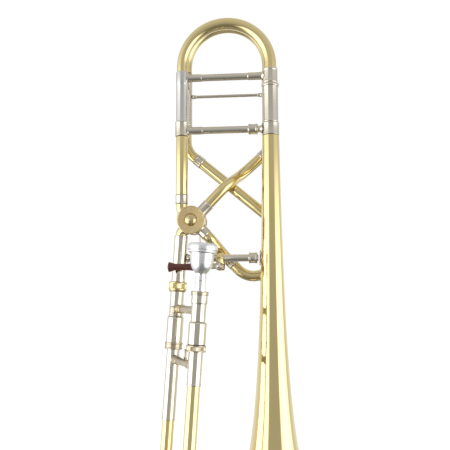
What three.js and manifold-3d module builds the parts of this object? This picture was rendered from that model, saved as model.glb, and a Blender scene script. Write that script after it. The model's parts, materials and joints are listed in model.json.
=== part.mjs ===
// Large-bore tenor trombone with an open-wrap F attachment, all sizes in millimetres.
//
// Frame: +Z up, the bell's axis is the Z axis and the bell's mouth lies in the plane Z = 0.
// X runs from the neckpipe to the bell, and Y from the player's left-hand side to the F tubing.
// The hand slide hangs below the neck on an axis of its own, slightly tilted to the bell's.
import * as THREE from 'three';
import { mergeVertices } from 'three/addons/utils/BufferGeometryUtils.js';
import Module from 'manifold-3d';

const wasm = await Module();
wasm.setup();

// ---------------------------------------------------------------- driving dimensions
const GAP = 0.3;                      // between pieces that meet
const WALL = 0.8;                     // tubing wall
const TUBE_SIDES = 12;
const BELL_SIDES = 30;
const BEND_STEP = Math.PI / 9;        // one facet of a bend

const legX = -121.7;                  // neckpipe axis, measured from the bell's axis
const fPlaneY = 24.5;                 // plane of the F tubing
const fLeftX = -119.3;
const fRightX = -4.1;

const bell = { mouthRadius: 108, tailZ: 528.9, offset: 3, knee: 40, power: 0.94, wall: 0.9, bead: 1.9 };

const mainBow = { crownZ: 690.15, radiusRight: 8.95, radiusLeft: 7.3, endRightZ: 623.4, endLeftZ: 622.6 };
const mainSleeve = { bottom: 547.5, ring: 597.7, top: 601.5, outer: 11, ringOuter: 12, inner: 10.2 };
const fBow = { centreZ: 637.3, radius: 7.6, endZ: 629 };
const neck = { ferruleZ: 529.7, ferruleTopZ: 549.2, tubeEndZ: 450.6, lowerFerruleZ: 437.3, radius: 8.2 };

const valve = { x: -106.6, z: 414.1, radius: 16.6, capRadius: 18.9, half: 16.8 };
const fTube = 7.4;                    // outer radius of the F tubing

const slide = {
  start: [-125.91, 0, 337.6],         // a point of the bell-side slide tube's axis
  down: [-0.0625, -0.0319, -1],       // direction of the slide's axis
  turn: 61.9 * Math.PI / 180,         // angle of the slide's plane from the bell's plane
  spacing: 86.8,
  innerRadius: 7.0,
  outerRadius: 7.97,
  sleeveRadius: 8.65,
  barrelRadius: 11.05,
  outerTop: 78,
  outerEnd: 744.7,
  crookCentre: 757,
};

// ---------------------------------------------------------------- vectors and the slide's frame
const vec = (x, y, z) => new THREE.Vector3(x, y, z);
const slideDown = vec(...slide.down).normalize();
const slideAcross = vec(Math.cos(slide.turn), -Math.sin(slide.turn), 0);
slideAcross.addScaledVector(slideDown, -slideAcross.dot(slideDown)).normalize();
const bellSideStart = vec(...slide.start);
const playerSideStart = bellSideStart.clone().addScaledVector(slideAcross, slide.spacing);

// A point of the bell-side or player-side slide tube, a distance down the slide.
const farSide = (down) => bellSideStart.clone().addScaledVector(slideDown, down);
const nearSide = (down) => playerSideStart.clone().addScaledVector(slideDown, down);

// ---------------------------------------------------------------- solids and booleans
function toSolid(geometry) {
  const bare = geometry.clone();
  bare.deleteAttribute('normal');
  bare.deleteAttribute('uv');
  const merged = mergeVertices(bare, 1e-4);
  return new wasm.Manifold(new wasm.Mesh({
    numProp: 3,
    vertProperties: new Float32Array(merged.attributes.position.array),
    triVerts: new Uint32Array(merged.index.array),
  }));
}

function toGeometry(solid) {
  const mesh = solid.getMesh();
  const geometry = new THREE.BufferGeometry();
  geometry.setAttribute('position', new THREE.BufferAttribute(new Float32Array(mesh.vertProperties), 3));
  geometry.setIndex(new THREE.BufferAttribute(new Uint32Array(mesh.triVerts), 1));
  return geometry;
}

const join = (...parts) => toGeometry(parts.map(toSolid).reduce((sum, part) => sum.add(part)));
const cut = (body, ...tools) => toGeometry(tools.map(toSolid).reduce((left, tool) => left.subtract(tool), toSolid(body)));
const common = (a, b) => toGeometry(toSolid(a).intersect(toSolid(b)));

// Moves a geometry made along +Y so that its base is at `from` and it points towards `direction`.
function along(geometry, from, direction, twist = 0) {
  const turn = new THREE.Quaternion().setFromUnitVectors(vec(0, 1, 0), direction.clone().normalize());
  geometry.rotateY(twist);
  geometry.applyQuaternion(turn);
  geometry.translate(from.x, from.y, from.z);
  return geometry;
}

// A solid of revolution from [radius, height] pairs, its axis running from `from` towards `direction`.
function turned(profile, from, direction, sides = TUBE_SIDES) {
  const points = profile.map(([radius, height]) => new THREE.Vector2(radius, height));
  return along(new THREE.LatheGeometry(points, sides), from, direction);
}

// Outside and inside given as lists of [radius, height], joined into one hollow profile.
function hollow(outside, inside) {
  return [...outside, ...[...inside].reverse(), outside[0]];
}

function rod(radius, from, to, sides = TUBE_SIDES) {
  const direction = to.clone().sub(from);
  const length = direction.length();
  return turned([[0, 0], [radius, 0], [radius, length], [0, length]], from, direction, sides);
}

function ring(outer, inner, from, to, sides = TUBE_SIDES) {
  const direction = to.clone().sub(from);
  const length = direction.length();
  const profile = hollow([[outer, 0], [outer, length]], [[inner, 0], [inner, length]]);
  return turned(profile, from, direction, sides);
}

function block(width, depth, height, centre) {
  const geometry = new THREE.BoxGeometry(width, depth, height);
  geometry.translate(centre.x, centre.y, centre.z);
  return geometry;
}

// ---------------------------------------------------------------- bent tubing
// A path of straight stretches joined by round bends. bends[i] is the radius at inner corner i.
class PipePath {
  constructor(corners, bends) {
    this.pieces = [];
    this.length = 0;
    this.stations = [0];
    let from = corners[0];
    for (let i = 1; i < corners.length - 1; i += 1) {
      const before = corners[i].clone().sub(from).normalize();
      const after = corners[i + 1].clone().sub(corners[i]).normalize();
      const angle = before.angleTo(after);
      const reach = bends[i - 1] * Math.tan(angle / 2);
      const bendStart = corners[i].clone().addScaledVector(before, -reach);
      this.addLine(from, bendStart);
      this.addBend(bendStart, before, after, angle, bends[i - 1]);
      from = corners[i].clone().addScaledVector(after, reach);
    }
    this.addLine(from, corners[corners.length - 1]);
  }

  addLine(from, to) {
    const length = from.distanceTo(to);
    if (length < 1e-3) return;
    const along = to.clone().sub(from).divideScalar(length);
    this.push({ length, place: (s) => ({ point: from.clone().addScaledVector(along, s), turn: 0 }), tangent: along });
  }

  addBend(from, before, after, angle, radius) {
    const axis = before.clone().cross(after).normalize();
    const outward = before.clone().cross(axis);
    const centre = from.clone().addScaledVector(outward, -radius);
    const place = (s) => ({
      point: centre.clone().addScaledVector(outward.clone().applyAxisAngle(axis, s / radius), radius),
      turn: s / radius,
    });
    this.push({ length: angle * radius, place, tangent: before, axis, steps: Math.max(2, Math.ceil(angle / BEND_STEP)) });
  }

  push(piece) {
    const steps = piece.steps ?? 1;
    piece.start = this.length;
    for (let i = 1; i <= steps; i += 1) this.stations.push(this.length + (piece.length * i) / steps);
    this.length += piece.length;
    this.pieces.push(piece);
  }

  // Position and the two cross directions at a distance along the path.
  frame(distance) {
    let side = new THREE.Vector3().crossVectors(this.pieces[0].tangent, vec(0, 1, 0));
    if (side.length() < 0.2) side = new THREE.Vector3().crossVectors(this.pieces[0].tangent, vec(1, 0, 0));
    side.normalize();
    for (const piece of this.pieces) {
      const last = piece === this.pieces[this.pieces.length - 1];
      const inside = distance <= piece.start + piece.length + 1e-6 || last;
      const { point, turn } = piece.place(inside ? distance - piece.start : piece.length);
      const tangent = piece.tangent.clone();
      if (piece.axis) {
        side.applyAxisAngle(piece.axis, turn);
        tangent.applyAxisAngle(piece.axis, turn);
      }
      if (inside) return { point, tangent, side, up: side.clone().cross(tangent) };
    }
    return null;
  }
}

// A hollow tube that follows a path: a turned straight tube, bent along the path.
function pipe(path, radiusAt, wall = WALL, extra = [], sides = TUBE_SIDES) {
  const radius = typeof radiusAt === 'number' ? () => radiusAt : radiusAt;
  const heights = [...new Set([...path.stations, ...extra])].sort((a, b) => a - b);
  const outside = heights.map((s) => [radius(s), s]);
  const inside = heights.map((s) => [radius(s) - wall, s]);
  const points = hollow(outside, inside).map(([r, h]) => new THREE.Vector2(r, h));
  const geometry = new THREE.LatheGeometry(points, sides);
  const position = geometry.attributes.position;
  const frames = new Map(heights.map((s) => [Math.fround(s), path.frame(s)]));
  for (let i = 0; i < position.count; i += 1) {
    const { point, side, up } = frames.get(position.getY(i));
    const place = point.clone().addScaledVector(side, position.getX(i)).addScaledVector(up, position.getZ(i));
    position.setXYZ(i, place.x, place.y, place.z);
  }
  return geometry;
}

// ---------------------------------------------------------------- materials
const metal = (color, roughness) => new THREE.MeshStandardMaterial({ color, roughness, metalness: 1 });
const finish = {
  brass: () => metal(0xc9a24a, 0.18),
  brushedBrass: () => metal(0xb79a5e, 0.4),
  nickel: () => metal(0xb9b4a8, 0.2),
  silver: () => metal(0xd6d8da, 0.12),
  chrome: () => metal(0xc8ccd0, 0.08),
  wood: () => new THREE.MeshStandardMaterial({ color: 0x4a1c12, roughness: 0.35, metalness: 0 }),
  rubber: () => new THREE.MeshStandardMaterial({ color: 0x1c1c1c, roughness: 0.8, metalness: 0 }),
};

const object = new THREE.Group();

function add(name, geometry, material) {
  const mesh = new THREE.Mesh(geometry, material());
  mesh.name = name;
  object.add(mesh);
  return mesh;
}

// ---------------------------------------------------------------- bell
const bellRadius = (z) => bell.offset + (bell.mouthRadius - bell.offset) * (bell.knee / (z + bell.knee)) ** bell.power;

function makeBell() {
  // Heights close together at the flare and far apart along the tail.
  const rows = 14;
  const heights = Array.from({ length: rows }, (_, i) => 1.2 + (bell.tailZ - 1.2) * (i / (rows - 1)) ** 2.4);
  const rim = bell.mouthRadius - bell.bead;
  const outside = [[rim - 0.6, 0], [rim + 0.8, 0], [bell.mouthRadius, 1.2], [bell.mouthRadius - 0.4, 3.2]];
  heights.slice(2).forEach((z) => outside.push([bellRadius(z), z]));
  const inside = [[rim - 0.6, 0], [bellRadius(3) - 2.2, 1.6]];
  heights.slice(2).forEach((z) => inside.push([bellRadius(z) - bell.wall, z]));
  const profile = [...outside, ...inside.slice(1).reverse(), outside[0]];
  add('bell', turned(profile, vec(0, 0, 0), vec(0, 0, 1), BELL_SIDES), finish.brass);
  add('bell_tail_ferrule', ring(12.1, 10.3, vec(0, 0, bell.tailZ + GAP), vec(0, 0, mainSleeve.bottom - GAP)), finish.nickel);
}

// ---------------------------------------------------------------- main tuning slide
const up = vec(0, 0, 1);

function makeMainTuningSlide() {
  const sleeve = mainSleeve;
  add('main_slide_sleeve_right', turned(hollow(
    [[sleeve.outer, 0], [sleeve.outer, sleeve.ring - sleeve.bottom], [sleeve.ringOuter, sleeve.ring - sleeve.bottom],
      [sleeve.ringOuter, sleeve.top - sleeve.bottom]],
    [[sleeve.inner, 0], [sleeve.inner, sleeve.top - sleeve.bottom]],
  ), vec(0, 0, sleeve.bottom), up), finish.nickel);
  add('main_slide_leg_left', ring(7.0, 6.2, vec(legX, 0, neck.ferruleTopZ + GAP), vec(legX, 0, 615)), finish.chrome);

  add('main_bow_leg_right', turned(hollow(
    [[9.5, 0], [9.5, 49.5], [10.5, 49.5], [10.5, 70.8]],
    [[8.6, 0], [8.6, 70.8]],
  ), vec(0, 0, 552.3), up), finish.nickel);
  add('main_bow_leg_left', turned(hollow(
    [[8.25, 0], [8.25, 54.8], [8.55, 54.8], [8.55, 72.5]],
    [[7.5, 0], [7.5, 72.5]],
  ), vec(legX, 0, neck.ferruleTopZ + 2 * GAP), up), finish.nickel);

  const bowRadius = Math.abs(legX) / 2;
  const centreZ = mainBow.crownZ - bowRadius + 0.01;
  const path = new PipePath([
    vec(0, 0, mainBow.endRightZ),
    vec(0, 0, centreZ + bowRadius),
    vec(legX, 0, centreZ + bowRadius),
    vec(legX, 0, mainBow.endLeftZ),
  ], [bowRadius - 0.005, bowRadius - 0.005]);
  const taper = (s) => THREE.MathUtils.lerp(mainBow.radiusRight, mainBow.radiusLeft, s / path.length);
  add('main_bow', pipe(path, taper), finish.brass);

  const braceZ = 613.6;
  const start = vec(legX + 8.85, 0, braceZ);
  const length = Math.abs(legX) - 8.85 - 10.8;
  add('main_bow_brace', turned([
    [0, 0], [6, 0], [6, 1], [5.3, 2.5], [5.3, 18], [4.8, 18.8], [4.8, length - 20], [5.3, length - 19],
    [5.3, length - 2.5], [6.2, length - 1], [6.2, length], [0, length],
  ], start, vec(1, 0, 0)), finish.nickel);
}

// ---------------------------------------------------------------- neckpipe
function makeNeckpipe() {
  const top = vec(legX, 0, neck.ferruleTopZ);
  add('neckpipe_upper_ferrule', ring(9.7, 6.8, vec(legX, 0, neck.ferruleZ), top), finish.nickel);
  const tubeTop = vec(legX, 0, neck.ferruleZ - GAP);
  add('neckpipe', ring(neck.radius, neck.radius - WALL, vec(legX, 0, neck.tubeEndZ), tubeTop), finish.brass);
  const ferruleTop = vec(legX, 0, neck.tubeEndZ - GAP);
  const ferrule = vec(legX, 0, neck.lowerFerruleZ);
  add('neckpipe_lower_ferrule', ring(8.8, 7.4, ferrule, ferruleTop), finish.nickel);
}

// ---------------------------------------------------------------- rotary valve
const valveCentre = vec(valve.x, 0, valve.z);
const portDirection = (degrees) => {
  const angle = THREE.MathUtils.degToRad(degrees);
  return vec(Math.cos(angle), 0, Math.sin(angle));
};
const valvePoint = (degrees, distance) => valveCentre.clone().addScaledVector(portDirection(degrees), distance);
const ports = { neckpipe: 135, feed: 46.5, back: -45, gooseneck: 225 };

// The space that the casing takes, kept clear by the tubes that are soldered to it.
const casingSpace = () => rod(valve.radius + GAP, vec(valve.x, -30, valve.z), vec(valve.x, 30, valve.z), 32);

function makeValve() {
  const front = vec(valve.x, -valve.half, valve.z);
  const back = vec(valve.x, valve.half, valve.z);
  const bore = valve.radius - 1.6;
  const casing = ring(valve.radius, bore, front, back, 32);
  const holes = Object.values(ports).map((angle) => rod(6.4, valvePoint(angle, 8), valvePoint(angle, 24), 12));
  add('valve_casing', cut(casing, ...holes), finish.nickel);

  const capFront = vec(valve.x, -valve.half - GAP, valve.z);
  const cap = turned([
    [0, 0], [valve.capRadius - 0.6, 0], [valve.capRadius, 0.6], [valve.capRadius, 2.8], [valve.capRadius - 1, 3.6],
    [7.6, 3.7], [7.2, 5.2], [5.2, 6.7], [2.4, 7.4], [0, 7.5],
  ], capFront, vec(0, -1, 0), 32);
  add('valve_front_cap', cap, finish.brushedBrass);

  const plate = turned(hollow(
    [[valve.radius + 1, 0], [valve.radius + 1, 2.4], [8, 2.6], [8, 3.2]],
    [[3.4, 0], [3.4, 3.2]],
  ), vec(valve.x, valve.half + GAP, valve.z), vec(0, 1, 0), 24);
  const bumpers = [[-7.5, 8.5], [-7.5, -8.5]].map(([x, z]) => {
    const foot = vec(valve.x + x, valve.half + 1.5, valve.z + z);
    return rod(2.6, foot, foot.clone().add(vec(0, 4.6, 0)), 10);
  });
  add('valve_back_plate', join(plate, ...bumpers), finish.brass);

  // The rotor turns in the casing; two knuckles through it join the ports in pairs.
  const body = rod(bore - 0.45, vec(valve.x, -valve.half + 1, valve.z), vec(valve.x, valve.half - 1, valve.z), 32);
  const shaft = rod(2.8, vec(valve.x, valve.half - 2, valve.z), vec(valve.x, valve.half + 4.6, valve.z), 12);
  const knuckles = [[ports.neckpipe, ports.gooseneck, 180], [ports.feed, ports.back, 0]].map(([a, b, middle]) => {
    const inner = valvePoint(middle, 9.8);
    return join(rod(5, valvePoint(a, 20), inner, 10), rod(5, inner, valvePoint(b, 20), 10));
  });
  add('valve_rotor', join(cut(body, ...knuckles), shaft), finish.nickel);
}

// ---------------------------------------------------------------- gooseneck
function makeGooseneck() {
  const neckCorner = vec(legX, 0, valve.z + Math.abs(legX - valve.x));
  const neckElbow = new PipePath(
    [vec(legX, 0, neck.lowerFerruleZ - GAP), neckCorner, valvePoint(ports.neckpipe, 9)],
    [11],
  );
  add('neckpipe_elbow', cut(pipe(neckElbow, 8.1, 1), casingSpace()), finish.brass);

  const gooseneckTop = farSide(-56.9);
  const gooseneckCorner = farSide(-61.1);
  const elbow = new PipePath(
    [valvePoint(ports.gooseneck, 9), gooseneckCorner, gooseneckTop.clone().addScaledVector(slideDown, -GAP)],
    [9.5],
  );
  add('gooseneck_elbow', cut(pipe(elbow, 8.1, 1), casingSpace()), finish.brass);
  add('gooseneck', ring(9.3, 8, gooseneckTop, farSide(5.1), 20), finish.nickel);
}

// ---------------------------------------------------------------- F attachment
const feedTurn = vec(-12.9, fPlaneY, 506);
const feedPath = [
  valvePoint(ports.feed, 32.6),
  vec(-60.2, 0, 462.9),
  vec(-41, fPlaneY, 480.9),
  feedTurn,
];
const crookCornerX = 3.9;
const returnSlope = THREE.MathUtils.degToRad(-39.7);
const returnDirection = vec(Math.cos(returnSlope), 0, Math.sin(returnSlope));
const returnCorner = vec(fLeftX, fPlaneY, 516.2);
const returnPoint = (s) => returnCorner.clone().addScaledVector(returnDirection, s);
const lowZ = 340.1;
const lowCorner = vec(-38.2, fPlaneY, lowZ);
const lowerRun = { start: valvePoint(ports.back, 33), end: vec(-63.8, fPlaneY, 366.5) };
const lowerDirection = lowCorner.clone().sub(lowerRun.end).normalize();
const lowerPoint = (s) => lowerRun.end.clone().addScaledVector(lowerDirection, s);

function makeFAttachment() {
  // From the valve's upper right port up to the F tuning slide.
  const feedSleeve = cut(ring(8.1, 6.6, valvePoint(ports.feed, 14), valvePoint(ports.feed, 32.3)), casingSpace());
  add('valve_port_ferrule_upper', feedSleeve, finish.nickel);
  const feedDirection = feedTurn.clone().sub(feedPath[2]).normalize();
  const feedEnd = feedTurn.clone().addScaledVector(feedDirection, -3.2);
  add('f_feed_tube', pipe(new PipePath([feedPath[0], feedPath[1], feedPath[2], feedEnd], [20, 20]), fTube), finish.brass);
  const sleeveEnd = feedTurn.clone().addScaledVector(feedDirection, 7);
  add('f_feed_ferrule', ring(8.1, 6.6, feedEnd.clone().addScaledVector(feedDirection, GAP), sleeveEnd), finish.nickel);
  const bendStart = sleeveEnd.clone().addScaledVector(feedDirection, GAP);
  const rise = (fRightX - bendStart.x) / feedDirection.x;
  const bendCorner = bendStart.clone().addScaledVector(feedDirection, rise);
  const feedBend = new PipePath([bendStart, bendCorner, vec(fRightX, fPlaneY, 551.8)], [9.5]);
  add('f_feed_bend', pipe(feedBend, fTube), finish.brass);

  // The F tuning slide's fixed sleeves, and the thin brace between them.
  for (const [name, x] of [['left', fLeftX], ['right', fRightX]]) {
    const sleeve = ring(8.2, 7.5, vec(x, fPlaneY, 552.1), vec(x, fPlaneY, 620));
    add(`f_slide_sleeve_${name}`, sleeve, finish.nickel);
    const leg = turned(hollow(
      [[7.0, 0], [7.0, 64.3], [8.3, 64.3], [8.3, 71.9]],
      [[6.2, 0], [6.2, 71.9]],
    ), vec(x, fPlaneY, 556), up);
    add(`f_bow_leg_${name}`, leg, finish.nickel);
  }
  const braceStart = vec(fLeftX + 8.5, fPlaneY, 594.5);
  const braceLength = fRightX - fLeftX - 17;
  add('f_slide_brace', turned([
    [0, 0], [3, 0], [3, 5], [2.1, 5.6], [2.1, braceLength - 5.6], [3, braceLength - 5], [3, braceLength], [0, braceLength],
  ], braceStart, vec(1, 0, 0), 12), finish.nickel);

  const bowReach = (fRightX - fLeftX) / 2;
  const fCrown = fBow.centreZ + bowReach + 0.01;
  add('f_bow', pipe(new PipePath([
    vec(fRightX, fPlaneY, fBow.endZ),
    vec(fRightX, fPlaneY, fCrown),
    vec(fLeftX, fPlaneY, fCrown),
    vec(fLeftX, fPlaneY, fBow.endZ),
  ], [bowReach - 0.005, bowReach - 0.005]), fBow.radius), finish.brass);

  // Back from the F tuning slide, behind the feed tube and the bell, to the lower right port.
  const returnBend = new PipePath([vec(fLeftX, fPlaneY, 551.8), returnCorner, returnPoint(18)], [30]);
  add('f_return_bend', pipe(returnBend, fTube), finish.brass);
  add('f_return_ferrule', ring(8.2, 6.6, returnPoint(18 + GAP), returnPoint(30)), finish.nickel);
  const turnDown = returnPoint((crookCornerX - fLeftX) / returnDirection.x);
  const crook = new PipePath([
    returnPoint(30 + GAP),
    turnDown,
    vec(crookCornerX, fPlaneY, lowZ),
    lowCorner,
    lowerPoint(16.8),
  ], [24, 30, 30]);
  add('f_return_crook', pipe(crook, fTube), finish.brass);
  add('f_return_lower_ferrule', ring(8.2, 6.6, lowerPoint(5.3), lowerPoint(16.5)), finish.nickel);
  const lowerTube = new PipePath([valvePoint(ports.back, 28.3), lowerRun.start, lowerRun.end, lowerPoint(5)], [13, 13]);
  add('f_return_lower_tube', pipe(lowerTube, fTube), finish.brass);
  const backSleeve = cut(ring(8.1, 6.6, valvePoint(ports.back, 14), valvePoint(ports.back, 28)), casingSpace());
  add('valve_port_ferrule_lower', backSleeve, finish.nickel);

  // A small strut where the feed tube passes in front of the return tube.
  const strutFoot = returnPoint(80);
  const strut = block(8, 10.6, 8, vec(0, 0, 0));
  strut.rotateY(-returnSlope);
  strut.translate(strutFoot.x, fPlaneY / 2 + 0.6, strutFoot.z);
  const feedSpace = pipe(new PipePath([valvePoint(ports.feed, 20), feedPath[1], feedPath[2], feedTurn], [20, 20]),
    fTube + GAP + 0.2, fTube);
  const returnSpace = rod(fTube + GAP + 0.2, returnPoint(50), returnPoint(110));
  const shaft = rod(fTube + 0.2, valvePoint(ports.feed, 20), feedPath[1].clone().addScaledVector(portDirection(ports.feed), 12));
  add('f_tube_strut', cut(strut, feedSpace, returnSpace, shaft), finish.brass);
}

// ---------------------------------------------------------------- bell braces
function makeBellBraces() {
  const upper = vec(legX + 9.7 + GAP, 0, 539.2);
  const upperLength = Math.abs(legX) - 10 - 12.4;
  add('upper_bell_brace', turned([
    [0, 0], [6.4, 0], [6.2, 1.2], [5.4, 3], [5.4, 18], [4.9, 18.8], [4.9, upperLength - 18],
    [7.5, upperLength - 17.6], [7.5, upperLength - 5.2], [4.6, upperLength - 4.8], [4.6, upperLength - 1],
    [6, upperLength], [0, upperLength],
  ], upper, vec(1, 0, 0)), finish.nickel);

  const lowerZ = 363.9;
  const start = vec(-114.6, 0.8, lowerZ);
  const length = 114.6 - 17.9;
  add('lower_bell_brace', turned([
    [0, 0], [6.4, 0], [6.2, 1.2], [5.2, 3], [5.2, 12], [4.8, 12.6], [4.8, length - 12.9],
    [7.5, length - 12.6], [7.5, length - 1.4], [7.1, length - 1], [4.4, length - 0.9], [4.4, length], [0, length],
  ], start, vec(1, -0.8 / length, 0)), finish.nickel);

  // The diamond flange that carries the brace on the bell, curved to the bell's surface.
  const shell = turned(hollow(
    [[bellRadius(lowerZ - 16) + 1.7, -16], [bellRadius(lowerZ + 16) + 1.7, 16]],
    [[bellRadius(lowerZ - 16) + 0.4, -16], [bellRadius(lowerZ + 16) + 0.4, 16]],
  ), vec(0, 0, lowerZ), up, BELL_SIDES);
  const diamond = new THREE.Shape([[0, -11.5], [10, 0], [0, 11.5], [-10, 0]].map(([y, z]) => new THREE.Vector2(y, z)));
  const prism = new THREE.ExtrudeGeometry(diamond, { depth: 20, bevelEnabled: false });
  prism.rotateX(Math.PI / 2);
  prism.rotateZ(-Math.PI / 2);
  prism.translate(-4, 0, lowerZ);
  add('bell_flange', common(shell, prism), finish.nickel);
}

// ---------------------------------------------------------------- thumb trigger and linkage
const trigger = {
  hinge: vec(-69, 0, 352.6),
  arm: 31.5,
  swing: THREE.MathUtils.degToRad(10.5),
  rollerY: -18.5,
  rearY: 23.4,
  rollerLeft: -136.1,
  rollerRight: -99.6,
  stopRadius: 8,
};
const linkFoot = trigger.hinge.clone().add(vec(
  -trigger.arm * Math.cos(trigger.swing), 0, trigger.arm * Math.sin(trigger.swing),
));

function makeTrigger() {
  const { hinge, rollerY, rearY } = trigger;
  // The hinge tube with a front arm to the roller's axle and a rear arm to the link.
  const tube = rod(3.2, vec(hinge.x, rollerY - 2.2, hinge.z), vec(hinge.x, rearY + 2.4, hinge.z), 14);
  const axleZ = 351.7;
  const armEnd = vec(trigger.rollerRight + 2.6, rollerY, axleZ);
  const frontArm = rod(2.2, vec(hinge.x, rollerY, hinge.z), armEnd, 10);
  const axle = rod(1.4, vec(trigger.rollerRight + 4, rollerY, axleZ), vec(trigger.rollerLeft - 1.2, rollerY, axleZ), 10);
  const rearPlane = rearY + 0.6;
  const rearArm = rod(2, vec(hinge.x, rearPlane, hinge.z), vec(linkFoot.x, rearPlane, linkFoot.z), 10);
  const eye = rod(3.4, vec(linkFoot.x, rearY - 1.2, linkFoot.z), vec(linkFoot.x, rearY + 2.4, linkFoot.z), 12);
  add('thumb_lever', join(tube, frontArm, axle, rearArm, eye), finish.nickel);

  const length = trigger.rollerRight - trigger.rollerLeft;
  const flare = [[6.6, 0], [6.6, 1.6], [5.4, 4.4], [4.5, 10], [4.4, 18], [4.6, length - 6], [5.6, length - 1.4], [5.6, length]];
  const roller = turned(hollow(flare, [[1.9, 0], [1.9, length]]),
    vec(trigger.rollerLeft, rollerY, axleZ), vec(1, 0, 0), 18);
  add('thumb_roller', roller, finish.wood);

  // Two ears hang from the lower bell brace and carry the hinge tube.
  const ears = [-8.4, 8.4].map((y) => {
    const plate = block(7, 2.4, 15.4, vec(hinge.x + 0.2, y, hinge.z + 5.4));
    const foot = rod(5.2, vec(hinge.x, y - 1.2, hinge.z), vec(hinge.x, y + 1.2, hinge.z), 14);
    return join(plate, foot);
  });
  const saddle = block(7, 19.2, 12, vec(hinge.x + 0.2, 0, 360.6));
  const bore = rod(3.6, vec(hinge.x, -20, hinge.z), vec(hinge.x, 20, hinge.z), 14);
  const braceSpace = rod(5.3, vec(-120, 0.5, 363.9), vec(-30, 0.2, 363.9));
  const tubeSpace = rod(fTube + 0.5, lowerRun.start, lowerRun.end);
  const bracket = cut(join(saddle, ...ears), bore, braceSpace, tubeSpace);
  add('lever_bracket', bracket, finish.brass);

  // The link rod, and the stop arm that it turns.
  const stop = vec(valve.x + trigger.stopRadius * Math.SQRT1_2, 0, valve.z + trigger.stopRadius * Math.SQRT1_2);
  const linkY = rearY + 3;
  const shank = rod(1.3, vec(linkFoot.x, linkY + 1.2, linkFoot.z), vec(stop.x, linkY + 1.2, stop.z), 10);
  const linkEyes = [linkFoot, stop].map((end) => rod(3.6, vec(end.x, linkY, end.z), vec(end.x, linkY + 2.6, end.z), 12));
  add('rotor_link', join(shank, ...linkEyes), finish.nickel);

  const armBack = vec(valve.x, valve.half + 4.9, valve.z);
  const hub = rod(5, armBack, armBack.clone().add(vec(0, 3.6, 0)), 16);
  const armY = armBack.y + 1.8;
  const arm = rod(1.7, vec(valve.x, armY, valve.z), vec(stop.x, armY, stop.z), 10);
  const stopEye = rod(3.2, vec(stop.x, armY - 1.8, stop.z), vec(stop.x, armY + 2.4, stop.z), 12);
  const tail = rod(1.7, vec(valve.x, armY, valve.z), vec(valve.x - 8.4, armY, valve.z), 10);
  add('rotor_stop_arm', join(hub, arm, stopEye, tail), finish.nickel);
}

// ---------------------------------------------------------------- hand slide, inner part
function onSlide(side, profile, top, sides = TUBE_SIDES) {
  return turned(profile, side(top), slideDown, sides);
}

function makeSlideSection() {
  const { barrelRadius } = slide;
  add('slide_lock_nut', onSlide(farSide, hollow(
    [[11.2, 0], [12.1, 1], [12.1, 10.4], [10.6, 13.4]],
    [[9.7, 0], [9.7, 13.4]],
  ), 5.4, 20), finish.brass);
  add('slide_receiver', onSlide(farSide, hollow(
    [[8.9, 0], [9.1, 13], [9.1, 43.6], [9.8, 44.9]],
    [[7.6, 0], [7.6, 44.9]],
  ), 5.6), finish.nickel);
  add('cork_barrel_far', onSlide(farSide, hollow(
    [[10.2, 0], [barrelRadius, 1.6], [barrelRadius, 34], [11.9, 34.6], [11.9, 42.4], [11.4, 43.3]],
    [[7.5, 0], [7.5, 3], [9.3, 3.2], [9.3, 43.3]],
  ), 50.8), finish.nickel);

  add('mouthpiece_receiver', onSlide(nearSide, hollow(
    [[10.75, 0], [10.75, 4.8], [10, 4.9], [10, 14.4], [9.05, 14.6], [9.05, 36.2]],
    [[7.1, 0], [7.1, 36.2]],
  ), 17.7), finish.nickel);
  add('cork_barrel_near', onSlide(nearSide, hollow(
    [[10.2, 0], [barrelRadius, 1.6], [barrelRadius, 27.2], [10.1, 27.2], [10.1, 35.4]],
    [[7.5, 0], [7.5, 3], [9.3, 3.2], [9.3, 35.4]],
  ), 54.3), finish.nickel);

  const innerLength = slide.crookCentre - 19 - 51;
  for (const [name, side, top] of [['far', farSide, 51], ['near', nearSide, 54.6]]) {
    const tube = [[slide.innerRadius, 0], [slide.innerRadius, innerLength - (top - 51)]];
    const bore = [[slide.innerRadius - 0.5, 0], [slide.innerRadius - 0.5, innerLength - (top - 51)]];
    add(`inner_slide_tube_${name}`, onSlide(side, hollow(tube, bore), top), finish.chrome);
  }

  const braceTop = farSide(41).addScaledVector(slideAcross, 9.4);
  const length = slide.spacing - 9.4 - 9.4;
  add('inner_slide_brace', turned([
    [0, 0], [5.4, 0], [6, 1.6], [5.2, 4], [4.6, 6], [5.2, 6.4], [5.2, 17.6], [4.7, 18], [4.7, length - 16],
    [5.2, length - 15.6], [5.2, length - 5], [6, length - 1], [6, length], [0, length],
  ], braceTop, slideAcross), finish.nickel);

  // The turning ring that locks the slide, with its hooked tongue.
  const lockRing = onSlide(nearSide, hollow([[12.1, 0], [12.1, 7.8]], [[10.6, 0], [10.6, 7.8]]), 81.9, 20);
  const tongueCentre = nearSide(93.4).addScaledVector(slideAcross, -11.4);
  const tongue = new THREE.BoxGeometry(2.2, 11.5, 5.4);
  tongue.applyMatrix4(new THREE.Matrix4().makeBasis(
    slideAcross, slideDown, slideAcross.clone().cross(slideDown),
  ).setPosition(tongueCentre));
  add('slide_lock_ring', join(lockRing, tongue), finish.nickel);
}

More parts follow.
